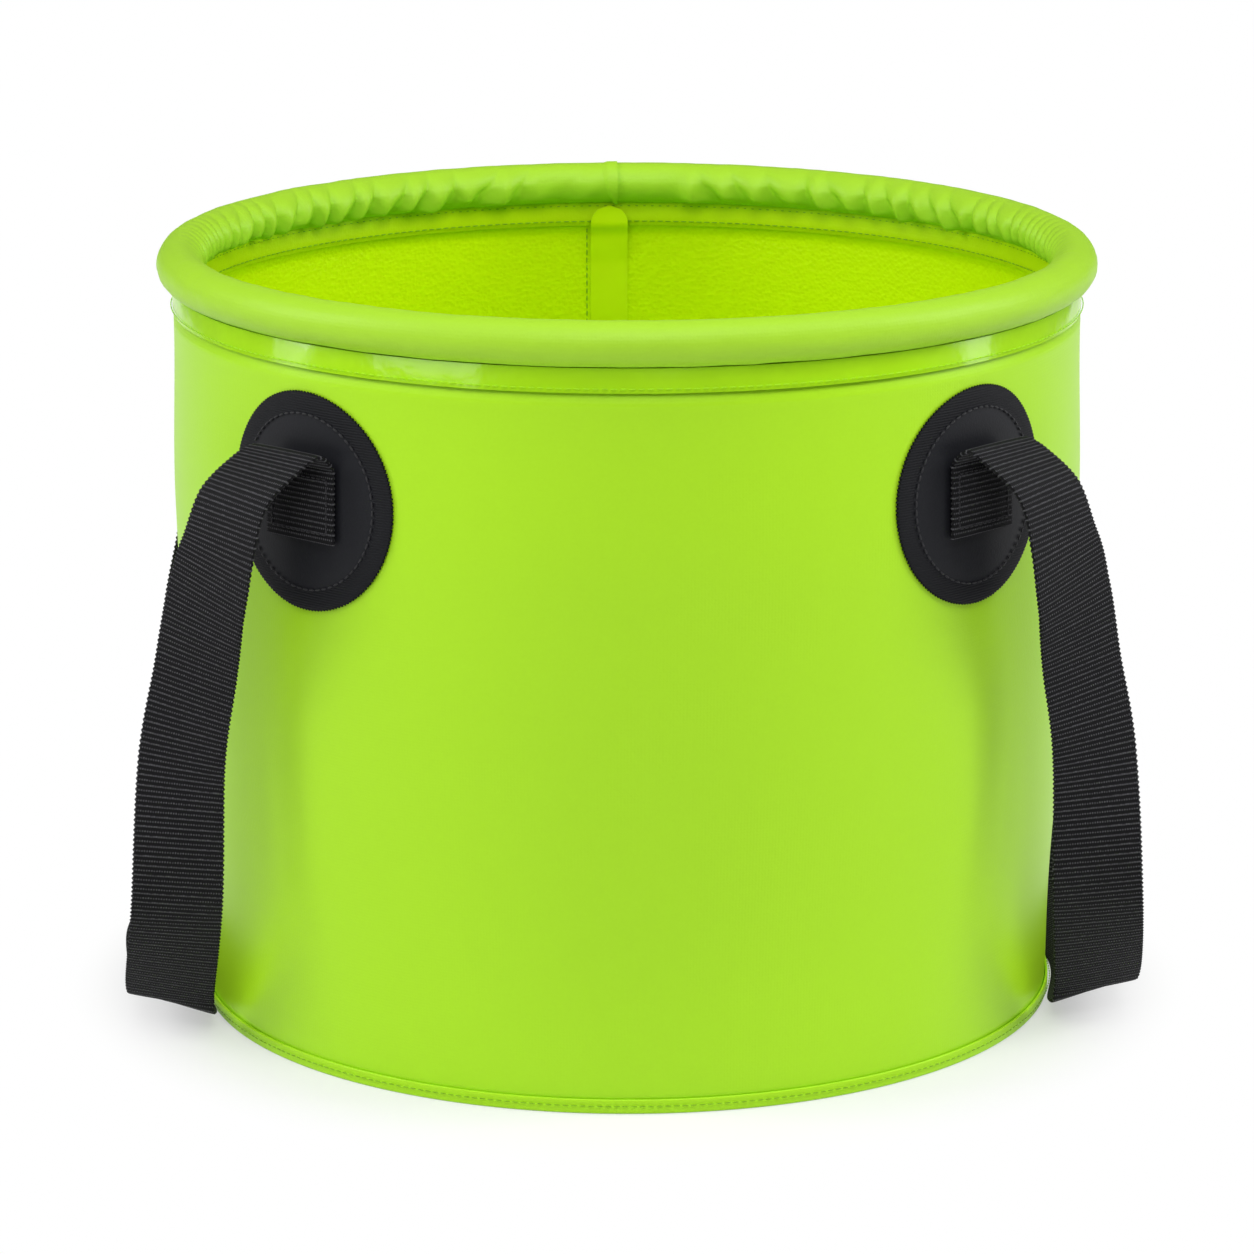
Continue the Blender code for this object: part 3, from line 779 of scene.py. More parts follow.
def add_stitch(shape, place, along, out, length, radius=THREAD_RADIUS):
    """One stitch, a plump bead of thread that lies along a direction."""
    side = out.cross(along).normalized()
    axes = Matrix((along.normalized(), side, along.cross(side).normalized())).transposed().to_4x4()
    size = Matrix.Diagonal((length / 2, radius, radius, 1))
    matrix = Matrix.Translation(place) @ axes @ size @ TIPPED
    bmesh.ops.create_uvsphere(
        shape, u_segments=STITCH_ROUND, v_segments=STITCH_ALONG, radius=1, matrix=matrix
    )


# A ball's poles point along its stitch
TIPPED = Matrix.Rotation(math.pi / 2, 4, "Y")


def ring_of_stitches(radius, height, pitch, share, thread=THREAD_RADIUS):
    """A row of stitches round the Z axis."""
    shape = bmesh.new()
    place, along, out = Vector((radius, 0, height)), Vector((0, 1, 0)), Vector((1, 0, 0))
    add_stitch(shape, place, along, out, pitch * share, thread)
    repeated(shape, round(FULL_TURN * radius / pitch))
    return shape


def add_stitches(shape, row):
    """Add one row of stitches to another."""
    mesh = bpy.data.meshes.new("row")
    row.to_mesh(mesh)
    row.free()
    shape.from_mesh(mesh)
    bpy.data.meshes.remove(mesh)


# Base


class BUCKET_OT_base(bpy.types.Operator):
    """Round base of the bucket, with its edge turned up outside the wall"""

    bl_idname = "bucket.base"
    bl_label = "Base"

    def execute(self, context):
        look = context.scene.bucket_fabric
        finish = fabric_finish("base_fabric", look.outside, roughness=0.42, grain=0.00006)
        low, high = box_of("base_panel")
        lip = high.x
        floor = min(z for r, z in corners_of("base_panel") if z > TOUCH)
        inner = min(r for r, z in corners_of("base_panel") if abs(z - high.z) < TOUCH)
        half = (lip - inner) / 2
        round_under = arc((lip - half * 2, half * 2), half * 2, -math.pi / 2, 0, UNDER_STEPS)
        round_top = arc((lip - half, high.z - half), half, 0, math.pi, LIP_STEPS)
        underside = line((lip * UNDERSIDE_START, 0), (lip - half * 2, 0), UNDERSIDE_RINGS)
        outline = [(0, floor), (0, 0)] + underside + round_under + round_top + [(inner, floor + half)]
        outline += line((inner - half, floor), (lip * FLOOR_START, floor), FLOOR_RINGS)
        shape = turned(outline, look.around)
        for corner in shape.verts:
            reach = corner.co.xy.length
            if corner.co.z > floor - TOUCH and reach < inner - half:
                free = 1 - smooth_share(reach, *FLOOR_WAVE_FADE)
                wave = noise.noise(Vector((corner.co.x, corner.co.y, 0)) * FLOOR_WAVES)
                corner.co.z += max(wave, 0) * FLOOR_WAVE * free
        add_piece("base_disc", shape, [finish], "base", ["base_panel"])

        tape = tape_finish("base_tape_film", look.tape)
        lowest = box_of("base_seam_tape")[0].z
        thick = min(z for r, z in corners_of("base_seam_tape") if z > lowest + TOUCH) - lowest
        reach = min(r for r, z in corners_of("base_seam_tape"))
        (foot, bottom), (top, rise) = slanted_side("base_seam_tape", 1)
        bend = thick * 3
        outline = [(top, rise), (foot, bottom), (reach, bottom), (reach, bottom + thick)]
        outline += arc((foot - thick - bend, bottom + thick + bend), bend, -math.pi / 2, 0, BEND_STEPS)
        outline += [(top - thick, rise)]
        shape = turned(outline, look.around)
        add_piece("base_corner_tape", shape, [tape], "base", ["base_seam_tape"])

        sewing = context.scene.bucket_stitches
        thread = thread_finish("base_thread", look.thread)
        radius, height = middle_of("base_stitching")
        shape = ring_of_stitches(radius, height, sewing.base_pitch, sewing.length_share, FINE_THREAD_RADIUS)
        add_piece("base_stitches", shape, [thread], "base", ["base_stitching"])
        return {"FINISHED"}


# Wall


def wall_sag(place, slack):
    """How far the wall hangs inwards at a place: nowhere near its seams, patches and ends."""
    angle = math.atan2(place.y, place.x)
    low, high = WALL_SIDES[1][0][1], WALL_SIDES[1][1][1]
    free = smooth_share(place.z - low, *SAG_ABOVE_FOOT) * smooth_share(high - place.z, *SAG_UNDER_TOP)
    seam = smooth_share(abs(angle - math.pi / 2), *SAG_FROM_SEAM)
    depth = 0.5
    for around, upwards, shift, share in SAG_WAVES:
        ring = Vector((math.cos(angle), math.sin(angle), 0)) * around
        depth += share * noise.noise(ring + UP * (place.z * upwards + shift))
    return slack * free * seam * min(max(depth, 0), 1)


class BUCKET_OT_wall(bpy.types.Operator):
    """Wall of coated fabric, with its upright seam inside"""

    bl_idname = "bucket.wall"
    bl_label = "Wall"

    def execute(self, context):
        look = context.scene.bucket_fabric
        outside = fabric_finish("wall_outside", look.outside, 0.40, grain=0.00005, place_from="rest_place")
        inside = fabric_finish(
            "wall_inside", look.inside, 0.26, grain=0.00004, place_from="rest_place", pebble=0.00022
        )
        (out_low, low), (out_high, high) = WALL_SIDES[1]
        (in_low, _), (in_high, _) = WALL_SIDES[-1]
        outline = line((out_low, low), (out_high, high), look.rows) + [(out_high, high)]
        outline += line((in_high, high), (in_low, low), look.rows) + [(in_low, low)]
        shape = turned(outline, look.around)
        for corner in shape.verts:
            swell = wall_swell(corner.co.z) - wall_sag(corner.co, look.slack)
            corner.co.xy *= 1 + swell / corner.co.xy.length
        shape.normal_update()
        for face in shape.faces:
            face.material_index = 1 if face.normal.dot(face.calc_center_median()) < 0 else 0
        piece = add_piece("wall_cloth", shape, [outside, inside], None, ["wall_panel"])
        keep_place(piece.data, "rest_place")
        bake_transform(piece)
        return {"FINISHED"}


class BUCKET_OT_wall_seam(bpy.types.Operator):
    """Upright tape inside the wall, with a round head, and the stitches beside it"""

    bl_idname = "bucket.wall_seam"
    bl_label = "Wall Seam"

    def execute(self, context):
        look = context.scene.bucket_fabric
        sewing = context.scene.bucket_stitches
        low, high = box_of("wall_seam_tape")
        half = high.x
        hem = box_of("rim_hem_stitching")[0].z
        tape = tape_finish("seam_tape_film", look.inside, roughness=0.3, place_from="rest_place")
        shape = bmesh.new()
        bmesh.ops.create_grid(shape, x_segments=STRIP_COLUMNS, y_segments=STRIP_ROWS, size=1)
        face_back = {}
        for co in (v.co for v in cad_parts["wall_seam_tape"].data.vertices):
            key = round(co.z, KEY_DIGITS)
            face_back[key] = min(face_back.get(key, co.y), co.y)
        heights = sorted(face_back)

        def back_at(z):
            i = min(max(bisect.bisect(heights, z), 1), len(heights) - 1)
            a, b = heights[i - 1], heights[i]
            return face_back[a] + (face_back[b] - face_back[a]) * min(max((z - a) / (b - a), 0), 1)

        for corner in shape.verts:
            z = low.z + (high.z - low.z) * (corner.co.y + 1) / 2
            head = max(z - (high.z - half), 0) / half
            reach = half * math.sqrt(max(1 - head * head, STRIP_TIP**2))
            ramp = [back_at(z + RAMP_HEIGHT * i / RAMP_STEPS) for i in range(RAMP_STEPS + 1)]
            y = sum(ramp) / len(ramp) + wall_swell(z)
            corner.co = Vector((corner.co.x * reach, y, z))
        for corner in grown_corners(shape):
            corner.co.y += STRIP_THICKNESS
        face_outwards(shape)
        piece = add_piece("wall_seam_strip", shape, [tape], None, ["wall_seam_tape"])
        keep_place(piece.data, "rest_place")
        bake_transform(piece)

        thread = thread_finish("seam_thread", look.thread)
        low, high = box_of("wall_seam_stitching")
        x = (low.x + high.x) / 2
        count = round((high.z - low.z) / sewing.hem_pitch)
        shape = bmesh.new()
        for i in range(count):
            z = low.z + (high.z - low.z) * (i + 0.5) / count
            reach = wall_radius(z, -1) - THREAD_RADIUS * STITCH_SEAT
            out = Vector((0, -1, 0))
            place = Vector((x, math.sqrt(reach**2 - x**2), z))
            add_stitch(shape, place, UP, out, sewing.hem_pitch * sewing.length_share, FINE_THREAD_RADIUS)
        piece = add_piece(
            "wall_seam_stitches", shape, [thread], None, ["wall_seam_stitching"]
        )
        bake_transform(piece)
        return {"FINISHED"}


# Rim


def pucker_table():
    """(angle, count of puckers so far, fullness) at small steps round the rim, from the back lap."""
    stops = [(math.radians(d), spacing, full) for d, spacing, full in PUCKER_STOPS]
    count, table, step = 0.0, [], FULL_TURN / PUCKER_TABLE_STEPS
    for i in range(PUCKER_TABLE_STEPS + 1):
        angle = -math.pi + step * i
        after = min(max(bisect.bisect([s[0] for s in stops], angle), 1), len(stops) - 1)
        (a, sa, da), (b, sb, db) = stops[after - 1], stops[after]
        share = smooth_share(angle, a, b)
        table.append((angle, count, da + (db - da) * share))
        count += RIM_CENTRE[0] * step / (sa + (sb - sa) * share)
    return table


def wander(angle, waves, shift, reach):
    """A slow random change round the rim."""
    return reach * noise.noise(Vector((math.cos(angle), math.sin(angle), 0)) * waves + UP * shift)


class Puckers:
    """The gathers inside the rim: rounded folds with sharp valleys between them."""

    def __init__(self):
        self.table = pucker_table()
        self.columns = {}

    def column(self, angle):
        """(count, fullness, slant, start) of the gathers at an angle round the rim."""
        key = round(angle, KEY_DIGITS)
        if key not in self.columns:
            where = (angle + math.pi) / FULL_TURN * (len(self.table) - 1)
            i = min(int(where), len(self.table) - 2)
            (_, count, full), (_, count_after, full_after) = self.table[i : i + 2]
            count += (count_after - count) * (where - i) + wander(angle, *COUNT_WANDER)
            full += (full_after - full) * (where - i)
            slant = SLANT * max(-1, min(1, angle / SLANT_ANGLE)) + wander(angle, *SLANT_WANDER)
            start = CREASE_START + wander(angle, *START_WANDER)
            self.columns[key] = (count, full, slant, start)
        return self.columns[key]

    def height(self, place):
        """How proud the sleeve stands at a place on its tube."""
        count, full, slant, start = self.column(math.atan2(place.x, place.y))
        turn = math.atan2(place.z - RIM_CENTRE[1], place.xy.length - RIM_CENTRE[0]) % FULL_TURN
        phase = count + slant * (turn - PUCKER_MIDDLE)
        fold = abs(math.sin(math.pi * phase))
        chance = noise.cell(Vector((math.floor(phase) + 0.5, 0.5, 0.5)))
        sharpness = ROOT_SHARPNESS + TIP_SHARPNESS * smooth_share(turn, *SHARPEN_TURNS)
        finger = FINGER_HEIGHT * (1 + FINGER_WANDER * chance) * fold**sharpness
        finger *= between(turn, *FINGER_TURNS, TIP_WANDER * chance)
        crease = CREASE_DEPTH * (1 - fold) ** 3 * smooth_share(turn, start, PUCKER_MIDDLE)
        pocket = POCKET_DEPTH * (1 - fold) * between(turn, *POCKET_TURNS)
        ripple = RIPPLE_HEIGHT * (fold - RIPPLE_LEVEL)
        ripple *= smooth_share(turn, start - RIPPLE_LEAD, PUCKER_MIDDLE)
        fade = 1 - smooth_share(turn, FINGER_TURNS[-1], FINGER_TURNS[-1] + FADE_TURN)
        lift = (full * (finger - crease - pocket) + ripple * min(full / RIPPLE_FULLNESS, 1)) * fade
        return max(lift, -SLEEVE_SLACK)


def small_wrinkles(place, height):
    wave = noise.noise(place * WRINKLES)
    fine = noise.noise(place * FINE_WRINKLES)
    return max(height * (wave + FINE_WRINKLE_SHARE * fine), -WRINKLE_SLACK)


class BUCKET_OT_rim_cover(bpy.types.Operator):
    """Fabric sleeve of the padded rim, gathered inside, with the lap where its ends meet"""

    bl_idname = "bucket.rim_cover"
    bl_label = "Rim Cover"

    def execute(self, context):
        look, rim = context.scene.bucket_fabric, context.scene.bucket_rim
        finish = fabric_finish("sleeve_cloth", look.sleeve, 0.46, grain=0.00006, pebble=0.00004)
        corners = corners_of("rim_sleeve")
        centre = RIM_CENTRE
        inner = [c for c in corners if c[0] < centre[0] and c[1] < centre[1] - TUBE_RADIUS]
        outer = [c for c in corners if c[0] > centre[0] and c[1] < centre[1] - TUBE_RADIUS]
        hem_low, face_low = min(c[1] for c in inner), min(c[1] for c in outer)
        hem_in = min(r for r, z in inner if abs(z - hem_low) < TOUCH)
        hem_back = max(r for r, z in inner if abs(z - hem_low) < TOUCH)
        face_in = min(r for r, z in outer if abs(z - face_low) < TOUCH)
        face_out = max(r for r, z in outer if abs(z - face_low) < TOUCH)
        start = -math.acos((face_out - centre[0]) / TUBE_RADIUS)
        thick = hem_back - hem_in
        cavity = TUBE_RADIUS - thick
        slot = (face_in - hem_back) / 2
        mouth = math.acos(slot / cavity)
        top, gathers = math.radians(TUBE_TOP_DEG), math.radians(TUBE_GATHERS_DEG)
        tube = arc(centre, TUBE_RADIUS, start, top, TUBE_OUTER)[:-1]
        tube += arc(centre, TUBE_RADIUS, top, gathers, TUBE_UPPER)[:-1]
        tube += arc(centre, TUBE_RADIUS, gathers, math.pi - start, TUBE_INNER)
        stitch_low = box_of("rim_hem_stitching")[0].z
        hem = line(tube[-1], (hem_in, stitch_low), HEM_STEPS) + [(hem_in, stitch_low)]
        hem += [(hem_back - HEM_EDGE, hem_low), (hem_back, hem_low)]
        hollow = arc(centre, cavity, math.pi + mouth, -mouth, HOLLOW_STEPS)
        face = [(face_in, face_low), (face_out, face_low)]
        face += line((face_out, face_low), tube[0], FACE_STEPS)[1:]
        shape = turned(tube + hem + hollow + face, rim.around)
        puckers = Puckers()
        skin = TUBE_RADIUS - thick / 2
        for corner in shape.verts:
            out = Vector((corner.co.xy.length - centre[0], corner.co.z - centre[1]))
            on_tube = out.length > skin and corner.co.z > centre[1] - TUBE_RADIUS - thick
            if not on_tube or (out.length < TUBE_RADIUS - TOUCH and corner.co.z < centre[1] - skin):
                continue
            off_lap = smooth_share(abs(math.atan2(corner.co.x, corner.co.y)), *LAP_MARGIN)
            wrinkle = small_wrinkles(corner.co, rim.wrinkle) * off_lap
            push = out.normalized() * (puckers.height(corner.co) + wrinkle)
            radial = corner.co.xy.normalized()
            corner.co.x += radial.x * push.x
            corner.co.y += radial.y * push.x
            corner.co.z += push.y
        hem_colour = shaded(look.inside, HEM_SHADE)
        hem_finish = fabric_finish("hem_cloth", hem_colour, 0.40, grain=0.00004, pebble=0.00006)
        for face in shape.faces:
            middle = face.calc_center_median()
            if middle.xy.length < centre[0] and middle.z < centre[1] - TUBE_RADIUS:
                face.material_index = 1
        piece = add_piece("rim_cover", shape, [finish, hem_finish], "rim", ["rim_sleeve"])
        return {"FINISHED"}


class BUCKET_OT_rim_lap(bpy.types.Operator):
    """Free end of the sleeve, folded over its start at the back"""

    bl_idname = "bucket.rim_lap"
    bl_label = "Rim Lap"

    def execute(self, context):
        look = context.scene.bucket_fabric
        finish = fabric_finish("lap_cloth", look.sleeve, 0.46, grain=0.00006, pebble=0.00004)
        low, high = box_of("sleeve_lap")
        radius = high.z - RIM_CENTRE[1]
        first, last = (math.radians(d) for d in LAP_DEG)
        shape = bmesh.new()
        bmesh.ops.create_grid(shape, x_segments=LAP_COLUMNS, y_segments=LAP_ROWS, size=1)
        for corner in shape.verts:
            share = (corner.co.y + 1) / 2
            turn = first + (last - first) * share
            half = high.x * (1 - LAP_TAPER * smooth_share(share, LAP_TAPER_FROM, 1))
            across = high.x - (1 - corner.co.x) * half
            flush = TUBE_RADIUS + LAP_LIFT
            skin = flush + (radius - flush) * smooth_share(corner.co.x, -1, LAP_RISEN)
            reach = RIM_CENTRE[0] + skin * math.cos(turn)
            y = math.sqrt(reach**2 - across**2)
            corner.co = Vector((across, y, RIM_CENTRE[1] + skin * math.sin(turn)))
        centre = Vector((0, *RIM_CENTRE))
        for corner in grown_corners(shape):
            inwards = (centre - corner.co) * Vector((0, 1, 1))
            corner.co += inwards.normalized() * LAP_THICKNESS
        face_outwards(shape)
        add_piece("rim_lap", shape, [finish], "rim", ["sleeve_lap"])
        return {"FINISHED"}


class BUCKET_OT_rim_tape(bpy.types.Operator):
    """Glossy tape round the outside, under the padded rim"""

    bl_idname = "bucket.rim_tape"
    bl_label = "Rim Tape"

    def execute(self, context):
        look = context.scene.bucket_fabric
        (low_out, low), (high_out, high) = slanted_side("rim_seam_tape", 1)
        finish = tape_finish("rim_tape_film", look.tape, roughness=0.15, middle=(low + high) / 2)
        (low_in, _), (high_in, _) = slanted_side("rim_seam_tape", -1)
        outline = line((low_out, low), (high_out, high), TAPE_STEPS) + [(high_out, high)]
        outline += [(high_in, high), (low_in, low)]
        shape = turned(outline, look.around * TAPE_FINER)
        for corner in shape.verts:
            reach = corner.co.xy.length
            if reach > wall_radius(corner.co.z) + TAPE_CLEARANCE:
                corner.co.xy *= 1 + max(noise.noise(corner.co * TAPE_WAVES), 0) * TAPE_WAVE / reach
        add_piece("rim_tape", shape, [finish], "rim", ["rim_seam_tape"])
        return {"FINISHED"}


class BUCKET_OT_rim_stitches(bpy.types.Operator):
    """Rows of stitches on the inner hem and along the tape"""

    bl_idname = "bucket.rim_stitches"
    bl_label = "Rim Stitches"

    def execute(self, context):
        look, sewing = context.scene.bucket_fabric, context.scene.bucket_stitches
        radius, height = middle_of("rim_hem_stitching")
        under_tube = RIM_CENTRE[1] - TUBE_RADIUS - TUBE_STITCH_DROP
        thin = FINE_THREAD_RADIUS * TUBE_STITCH_THINNER
        shape = ring_of_stitches(radius, height, sewing.hem_pitch, sewing.length_share, FINE_THREAD_RADIUS)
        add_stitches(shape, ring_of_stitches(radius, under_tube, sewing.hem_pitch, TUBE_STITCH_SHARE, thin))
        finish = thread_finish("hem_thread", look.thread)
        add_piece("hem_stitches", shape, [finish], "rim", ["rim_hem_stitching"])
        radius, height = middle_of("rim_tape_stitching")
        shape = ring_of_stitches(radius, height, sewing.hem_pitch, sewing.length_share, FINE_THREAD_RADIUS)
        finish = thread_finish("tape_thread", look.tape)
        add_piece("tape_stitches", shape, [finish], "rim", ["rim_tape_stitching"])
        return {"FINISHED"}


class BUCKET_OT_rim_core(bpy.types.Operator):
    """Foam and spring hoop inside the rim, which keep their shapes from the frame"""

    bl_idname = "bucket.rim_core"
    bl_label = "Rim Core"

    def execute(self, context):
        rim = context.scene.bucket_rim
        finishes = {"rim_foam": foam_finish(rim.foam), "rim_hoop": wire_finish(rim.wire)}
        for node, finish in finishes.items():
            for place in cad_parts[node].material_slots:
                place.material = finish
        return {"FINISHED"}


# Patches


@functools.cache
def azimuth(side, end):
    """The direction of a patch's centre, in radians from +X."""
    return math.atan2(ENDS[end] * math.sin(PATCH_TURN), SIDES[side] * math.cos(PATCH_TURN))


def on_wall(side, end, across, rise, lift):
    """A place that stands off the wall by lift, from a patch's centre: across it and up."""
    height = patch_centre_height() + rise
    radius = wall_radius(height) + lift
    angle = azimuth(side, end) + across / radius
    return Vector((radius * math.cos(angle), radius * math.sin(angle), height))


def lay_on_wall(shape, side, end, lift):
    """Lay a flat shape round a patch's centre on the wall, its +Z outwards and its zero at the lift."""
    for corner in shape.verts:
        x, y, z = corner.co
        corner.co = on_wall(side, end, x, y, lift + z)


class BUCKET_OT_patches(bpy.types.Operator):
    """Four round patches with pinked edges, and the stitches that hold them"""

    bl_idname = "bucket.patches"
    bl_label = "Patches"

    def execute(self, context):
        look, sewing = context.scene.bucket_handles, context.scene.bucket_stitches
        cloth = patch_finish(look.patch)
        thread = thread_finish("patch_thread", look.patch_thread)
        low, high = box_of("patch_front_left")
        radius = (high.z - low.z) / 2
        teeth = round(FULL_TURN * radius / look.tooth_pitch)
        for side, end in CORNERS:
            shape = bmesh.new()
            bmesh.ops.create_circle(shape, cap_ends=True, segments=teeth * TOOTH_FACES, radius=radius)
            for step in PATCH_RINGS:
                middle = max(shape.faces, key=lambda f: len(f.verts))
                bmesh.ops.inset_individual(shape, faces=[middle], thickness=step)
            middle = max(shape.faces, key=lambda f: len(f.verts))
            bmesh.ops.poke(shape, faces=[middle])
            for i, corner in enumerate(v for v in shape.verts if v.is_boundary):
                tooth = math.cos(i * FULL_TURN / TOOTH_FACES)
                corner.co *= 1 - (TOOTH_INSET - TOOTH_HEIGHT * tooth) / radius
            flat = shape.verts.layers.float_vector.new("patch_place")
            tops = set(grown_corners(shape))
            for corner in shape.verts:
                corner[flat] = corner.co
                reach = corner.co.length
                dip = DIP_DEPTH * (1 - smooth_share(abs(reach - PATCH_STITCH_RADIUS), 0, DIP_WIDTH))
                round_off = EDGE_DROP * smooth_share(reach, radius - EDGE_WIDTH, radius)
                lift = PATCH_LIFTS[1] - dip - round_off if corner in tops else PATCH_LIFTS[0]
                corner.co = on_wall(side, end, corner.co.x, corner.co.y, lift)
            face_outwards(shape)
            where = f"{end}_{side}"
            add_piece(f"patch_cloth_{where}", shape, [cloth], "rim", [f"patch_{where}"])
            self.stitch(side, end, thread, sewing)
        return {"FINISHED"}

    def stitch(self, side, end, thread, sewing):
        shape = ring_of_stitches(PATCH_STITCH_RADIUS, 0, sewing.patch_pitch, sewing.length_share)
        lay_on_wall(shape, side, end, PATCH_STANDOFF)
        where = f"{end}_{side}"
        add_piece(
            f"patch_stitches_{where}", shape, [thread], "rim", [f"patch_stitching_{where}"]
        )


# Handles


def smooth_line(before, points, after, steps):
    """Points on a smooth curve through the given ones, which comes from before and goes on to after."""
    ends = [before, *points, after]
    made = []
    for a, b, c, d in zip(ends, ends[1:], ends[2:], ends[3:]):
        for i in range(steps):
            t = i / steps
            bend = (2 * a - 5 * b + 4 * c - d) * t**2 + (3 * b - a - 3 * c + d) * t**3
            made.append(0.5 * (2 * b + (c - a) * t + bend))
    return made + [points[-1]]


def sewn_radius(height):
    """The centre line of the sewn webbing, which lies on the patch."""
    return wall_radius(height) + PATCH_STANDOFF + WEBBING_THICKNESS / 2


def leg_route():
    """(sewn end, leg) of the front left strap: lists of (centre, turn) from the sewn end up to the fold's
    crest, and from the crest to the loop's lowest point."""
    outwards = Vector((-math.cos(PATCH_TURN), -math.sin(PATCH_TURN), 0))
    sewn_low = patch_centre_height() - SEWN_DROP
    sewn_top = sewn_low + SEWN_LENGTH
    crest = outwards * (sewn_radius(sewn_top) + FOLD_REACH) + UP * (sewn_top + FOLD_RISE)
    half = WEBBING_WIDTH / 2 * math.cos(math.radians(LOOP_DIP_DEG))
    low = Vector((-box_of("base_panel")[1].x - LOOP_WALL_GAP - half, 0, LOOP_FLOOR_GAP))
    places = [outwards * sewn_radius(sewn_top) + UP * sewn_top, crest]
    for out, side, drop in LEG_ROUTE_SHARES:
        x = crest.x + (low.x - crest.x) * out
        places.append(Vector((x, crest.y * side, low.z + (crest.z - low.z) * drop)))
    places.append(low)
    below, past_middle = places[0] - UP * FOLD_RISE, places[-2] * Vector((1, -1, 1))
    centres = smooth_line(below, places, past_middle, ROUTE_STEPS)
    turns = [0, 0, *LEG_TURN_SHARES, 1]
    turns = smooth_line(turns[0], turns, turns[-2], ROUTE_STEPS)
    start = outwards * sewn_radius(sewn_low) + UP * sewn_low
    sewn = line(start, centres[0], ROUTE_STEPS // 2)
    route = [(Vector(place), 0) for place in sewn] + list(zip(centres, turns))
    fold = len(sewn) + ROUTE_STEPS
    return route[: fold + 1], route[fold:], crest.z


def width_direction(centre, path, turn, crest_height):
    """The webbing's width: along the wall at the fold, and facing outwards down at the loop."""
    along = Vector((math.sin(PATCH_TURN), -math.cos(PATCH_TURN), 0))
    dip = math.radians(LOOP_DIP_DEG)
    level, facing_out = Vector((1, 0, 0)), Vector((math.cos(dip), 0, -math.sin(dip)))
    if turn < FRONT_FACING_TURN:
        across = along.lerp(level, max(turn, 0) / FRONT_FACING_TURN)
    else:
        past = (turn - FRONT_FACING_TURN) / (1 - FRONT_FACING_TURN)
        across = level.lerp(facing_out, min(past, 1))
    square = min(max((crest_height - centre.z) / (SQUARE_DROP_SHARE * WEBBING_WIDTH), 0), 1)
    return (across - path * across.dot(path) * square).normalized()


def with_widths(route, crest_height):
    """(centre, width direction) for each point of a route."""
    made = []
    for i, (centre, turn) in enumerate(route):
        before, after = route[max(i - 1, 0)][0], route[min(i + 1, len(route) - 1)][0]
        made.append((centre, width_direction(centre, (after - before).normalized(), turn, crest_height)))
    return made


def mirrored(stations, side, end):
    """Front left stations, moved to another corner of the bucket."""
    flip = Vector((-SIDES[side], -ENDS[end], 1))
    return [(centre * flip, across * flip) for centre, across in stations]


def ribbon(stations, pitch, rib_height):
    """Webbing along the stations: its ribs, its rounded selvedges and a UV map in metres."""
    lengths = [0.0]
    for (a, _), (b, _) in zip(stations, stations[1:]):
        lengths.append(lengths[-1] + (b - a).length)
    total = lengths[-1]
    rows = round(total / pitch * RIB_FACES)
    shape = bmesh.new()
    weave = shape.loops.layers.uv.new("weave")
    bmesh.ops.create_grid(shape, x_segments=rows, y_segments=WEBBING_ROUND, size=1)
    half, thick = WEBBING_WIDTH / 2, WEBBING_THICKNESS / 2
    for face in shape.faces:
        for corner in face.loops:
            co = corner.vert.co
            corner[weave].uv = ((co.x + 1) / 2 * total, half * math.cos((co.y + 1) * math.pi))
    for corner in shape.verts:
        along, turn = (corner.co.x + 1) / 2 * total, (corner.co.y + 1) * math.pi
        i = min(max(bisect.bisect(lengths, along), 1), len(lengths) - 1)
        share = (along - lengths[i - 1]) / (lengths[i] - lengths[i - 1])
        (a, wide_a), (b, wide_b) = stations[i - 1], stations[i]
        before, after = stations[max(i - 2, 0)][0], stations[min(i + 1, len(stations) - 1)][0]
        path = (after - before).normalized()
        wide = wide_a.lerp(wide_b, share).normalized()
        face = wide.cross(path).normalized()
        rib = math.cos(FULL_TURN * along / pitch)
        c, s = math.cos(turn), math.sin(turn)
        across = c * (half - SELVEDGE_NOTCH + SELVEDGE_NOTCH * rib)
        lift = math.copysign(abs(s) ** WEBBING_FLATNESS, s) * (thick + (rib - 1) * rib_height / 2)
        corner.co = a.lerp(b, share) + wide * across + face * lift
    bmesh.ops.remove_doubles(shape, verts=shape.verts, dist=RIBBON_WELD)
    bmesh.ops.holes_fill(shape, edges=[e for e in shape.edges if e.is_boundary], sides=0)
    face_outwards(shape)
    return shape


class BUCKET_OT_handles(bpy.types.Operator):
    """Webbing straps: each side's loop, and the ends sewn to the patches"""

    bl_idname = "bucket.handles"
    bl_label = "Handles"

    def execute(self, context):
        look = context.scene.bucket_handles
        finish = webbing_finish(look.webbing, look.webbing_painted_glint, look.rib_pitch)
        sewn, leg, crest_height = leg_route()
        whole = with_widths(sewn[:-1] + leg, crest_height)
        sewn, leg = whole[: len(sewn)], whole[len(sewn) - 1 :]
        for side in SIDES:
            front, rear = mirrored(leg, side, "front"), mirrored(leg, side, "rear")[-2::-1]
            shape = ribbon(front + rear, look.rib_pitch, look.rib_height)
            piece = add_piece(f"strap_{side}", shape, [finish], None, [f"handle_{side}"])
            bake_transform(piece)
            for end in ENDS:
                where = f"{end}_{side}"
                shape = ribbon(mirrored(sewn, side, end), look.rib_pitch, look.rib_height)
                add_piece(f"sewn_end_{where}", shape, [finish], "rim", [f"strap_root_{where}"])
        return {"FINISHED"}


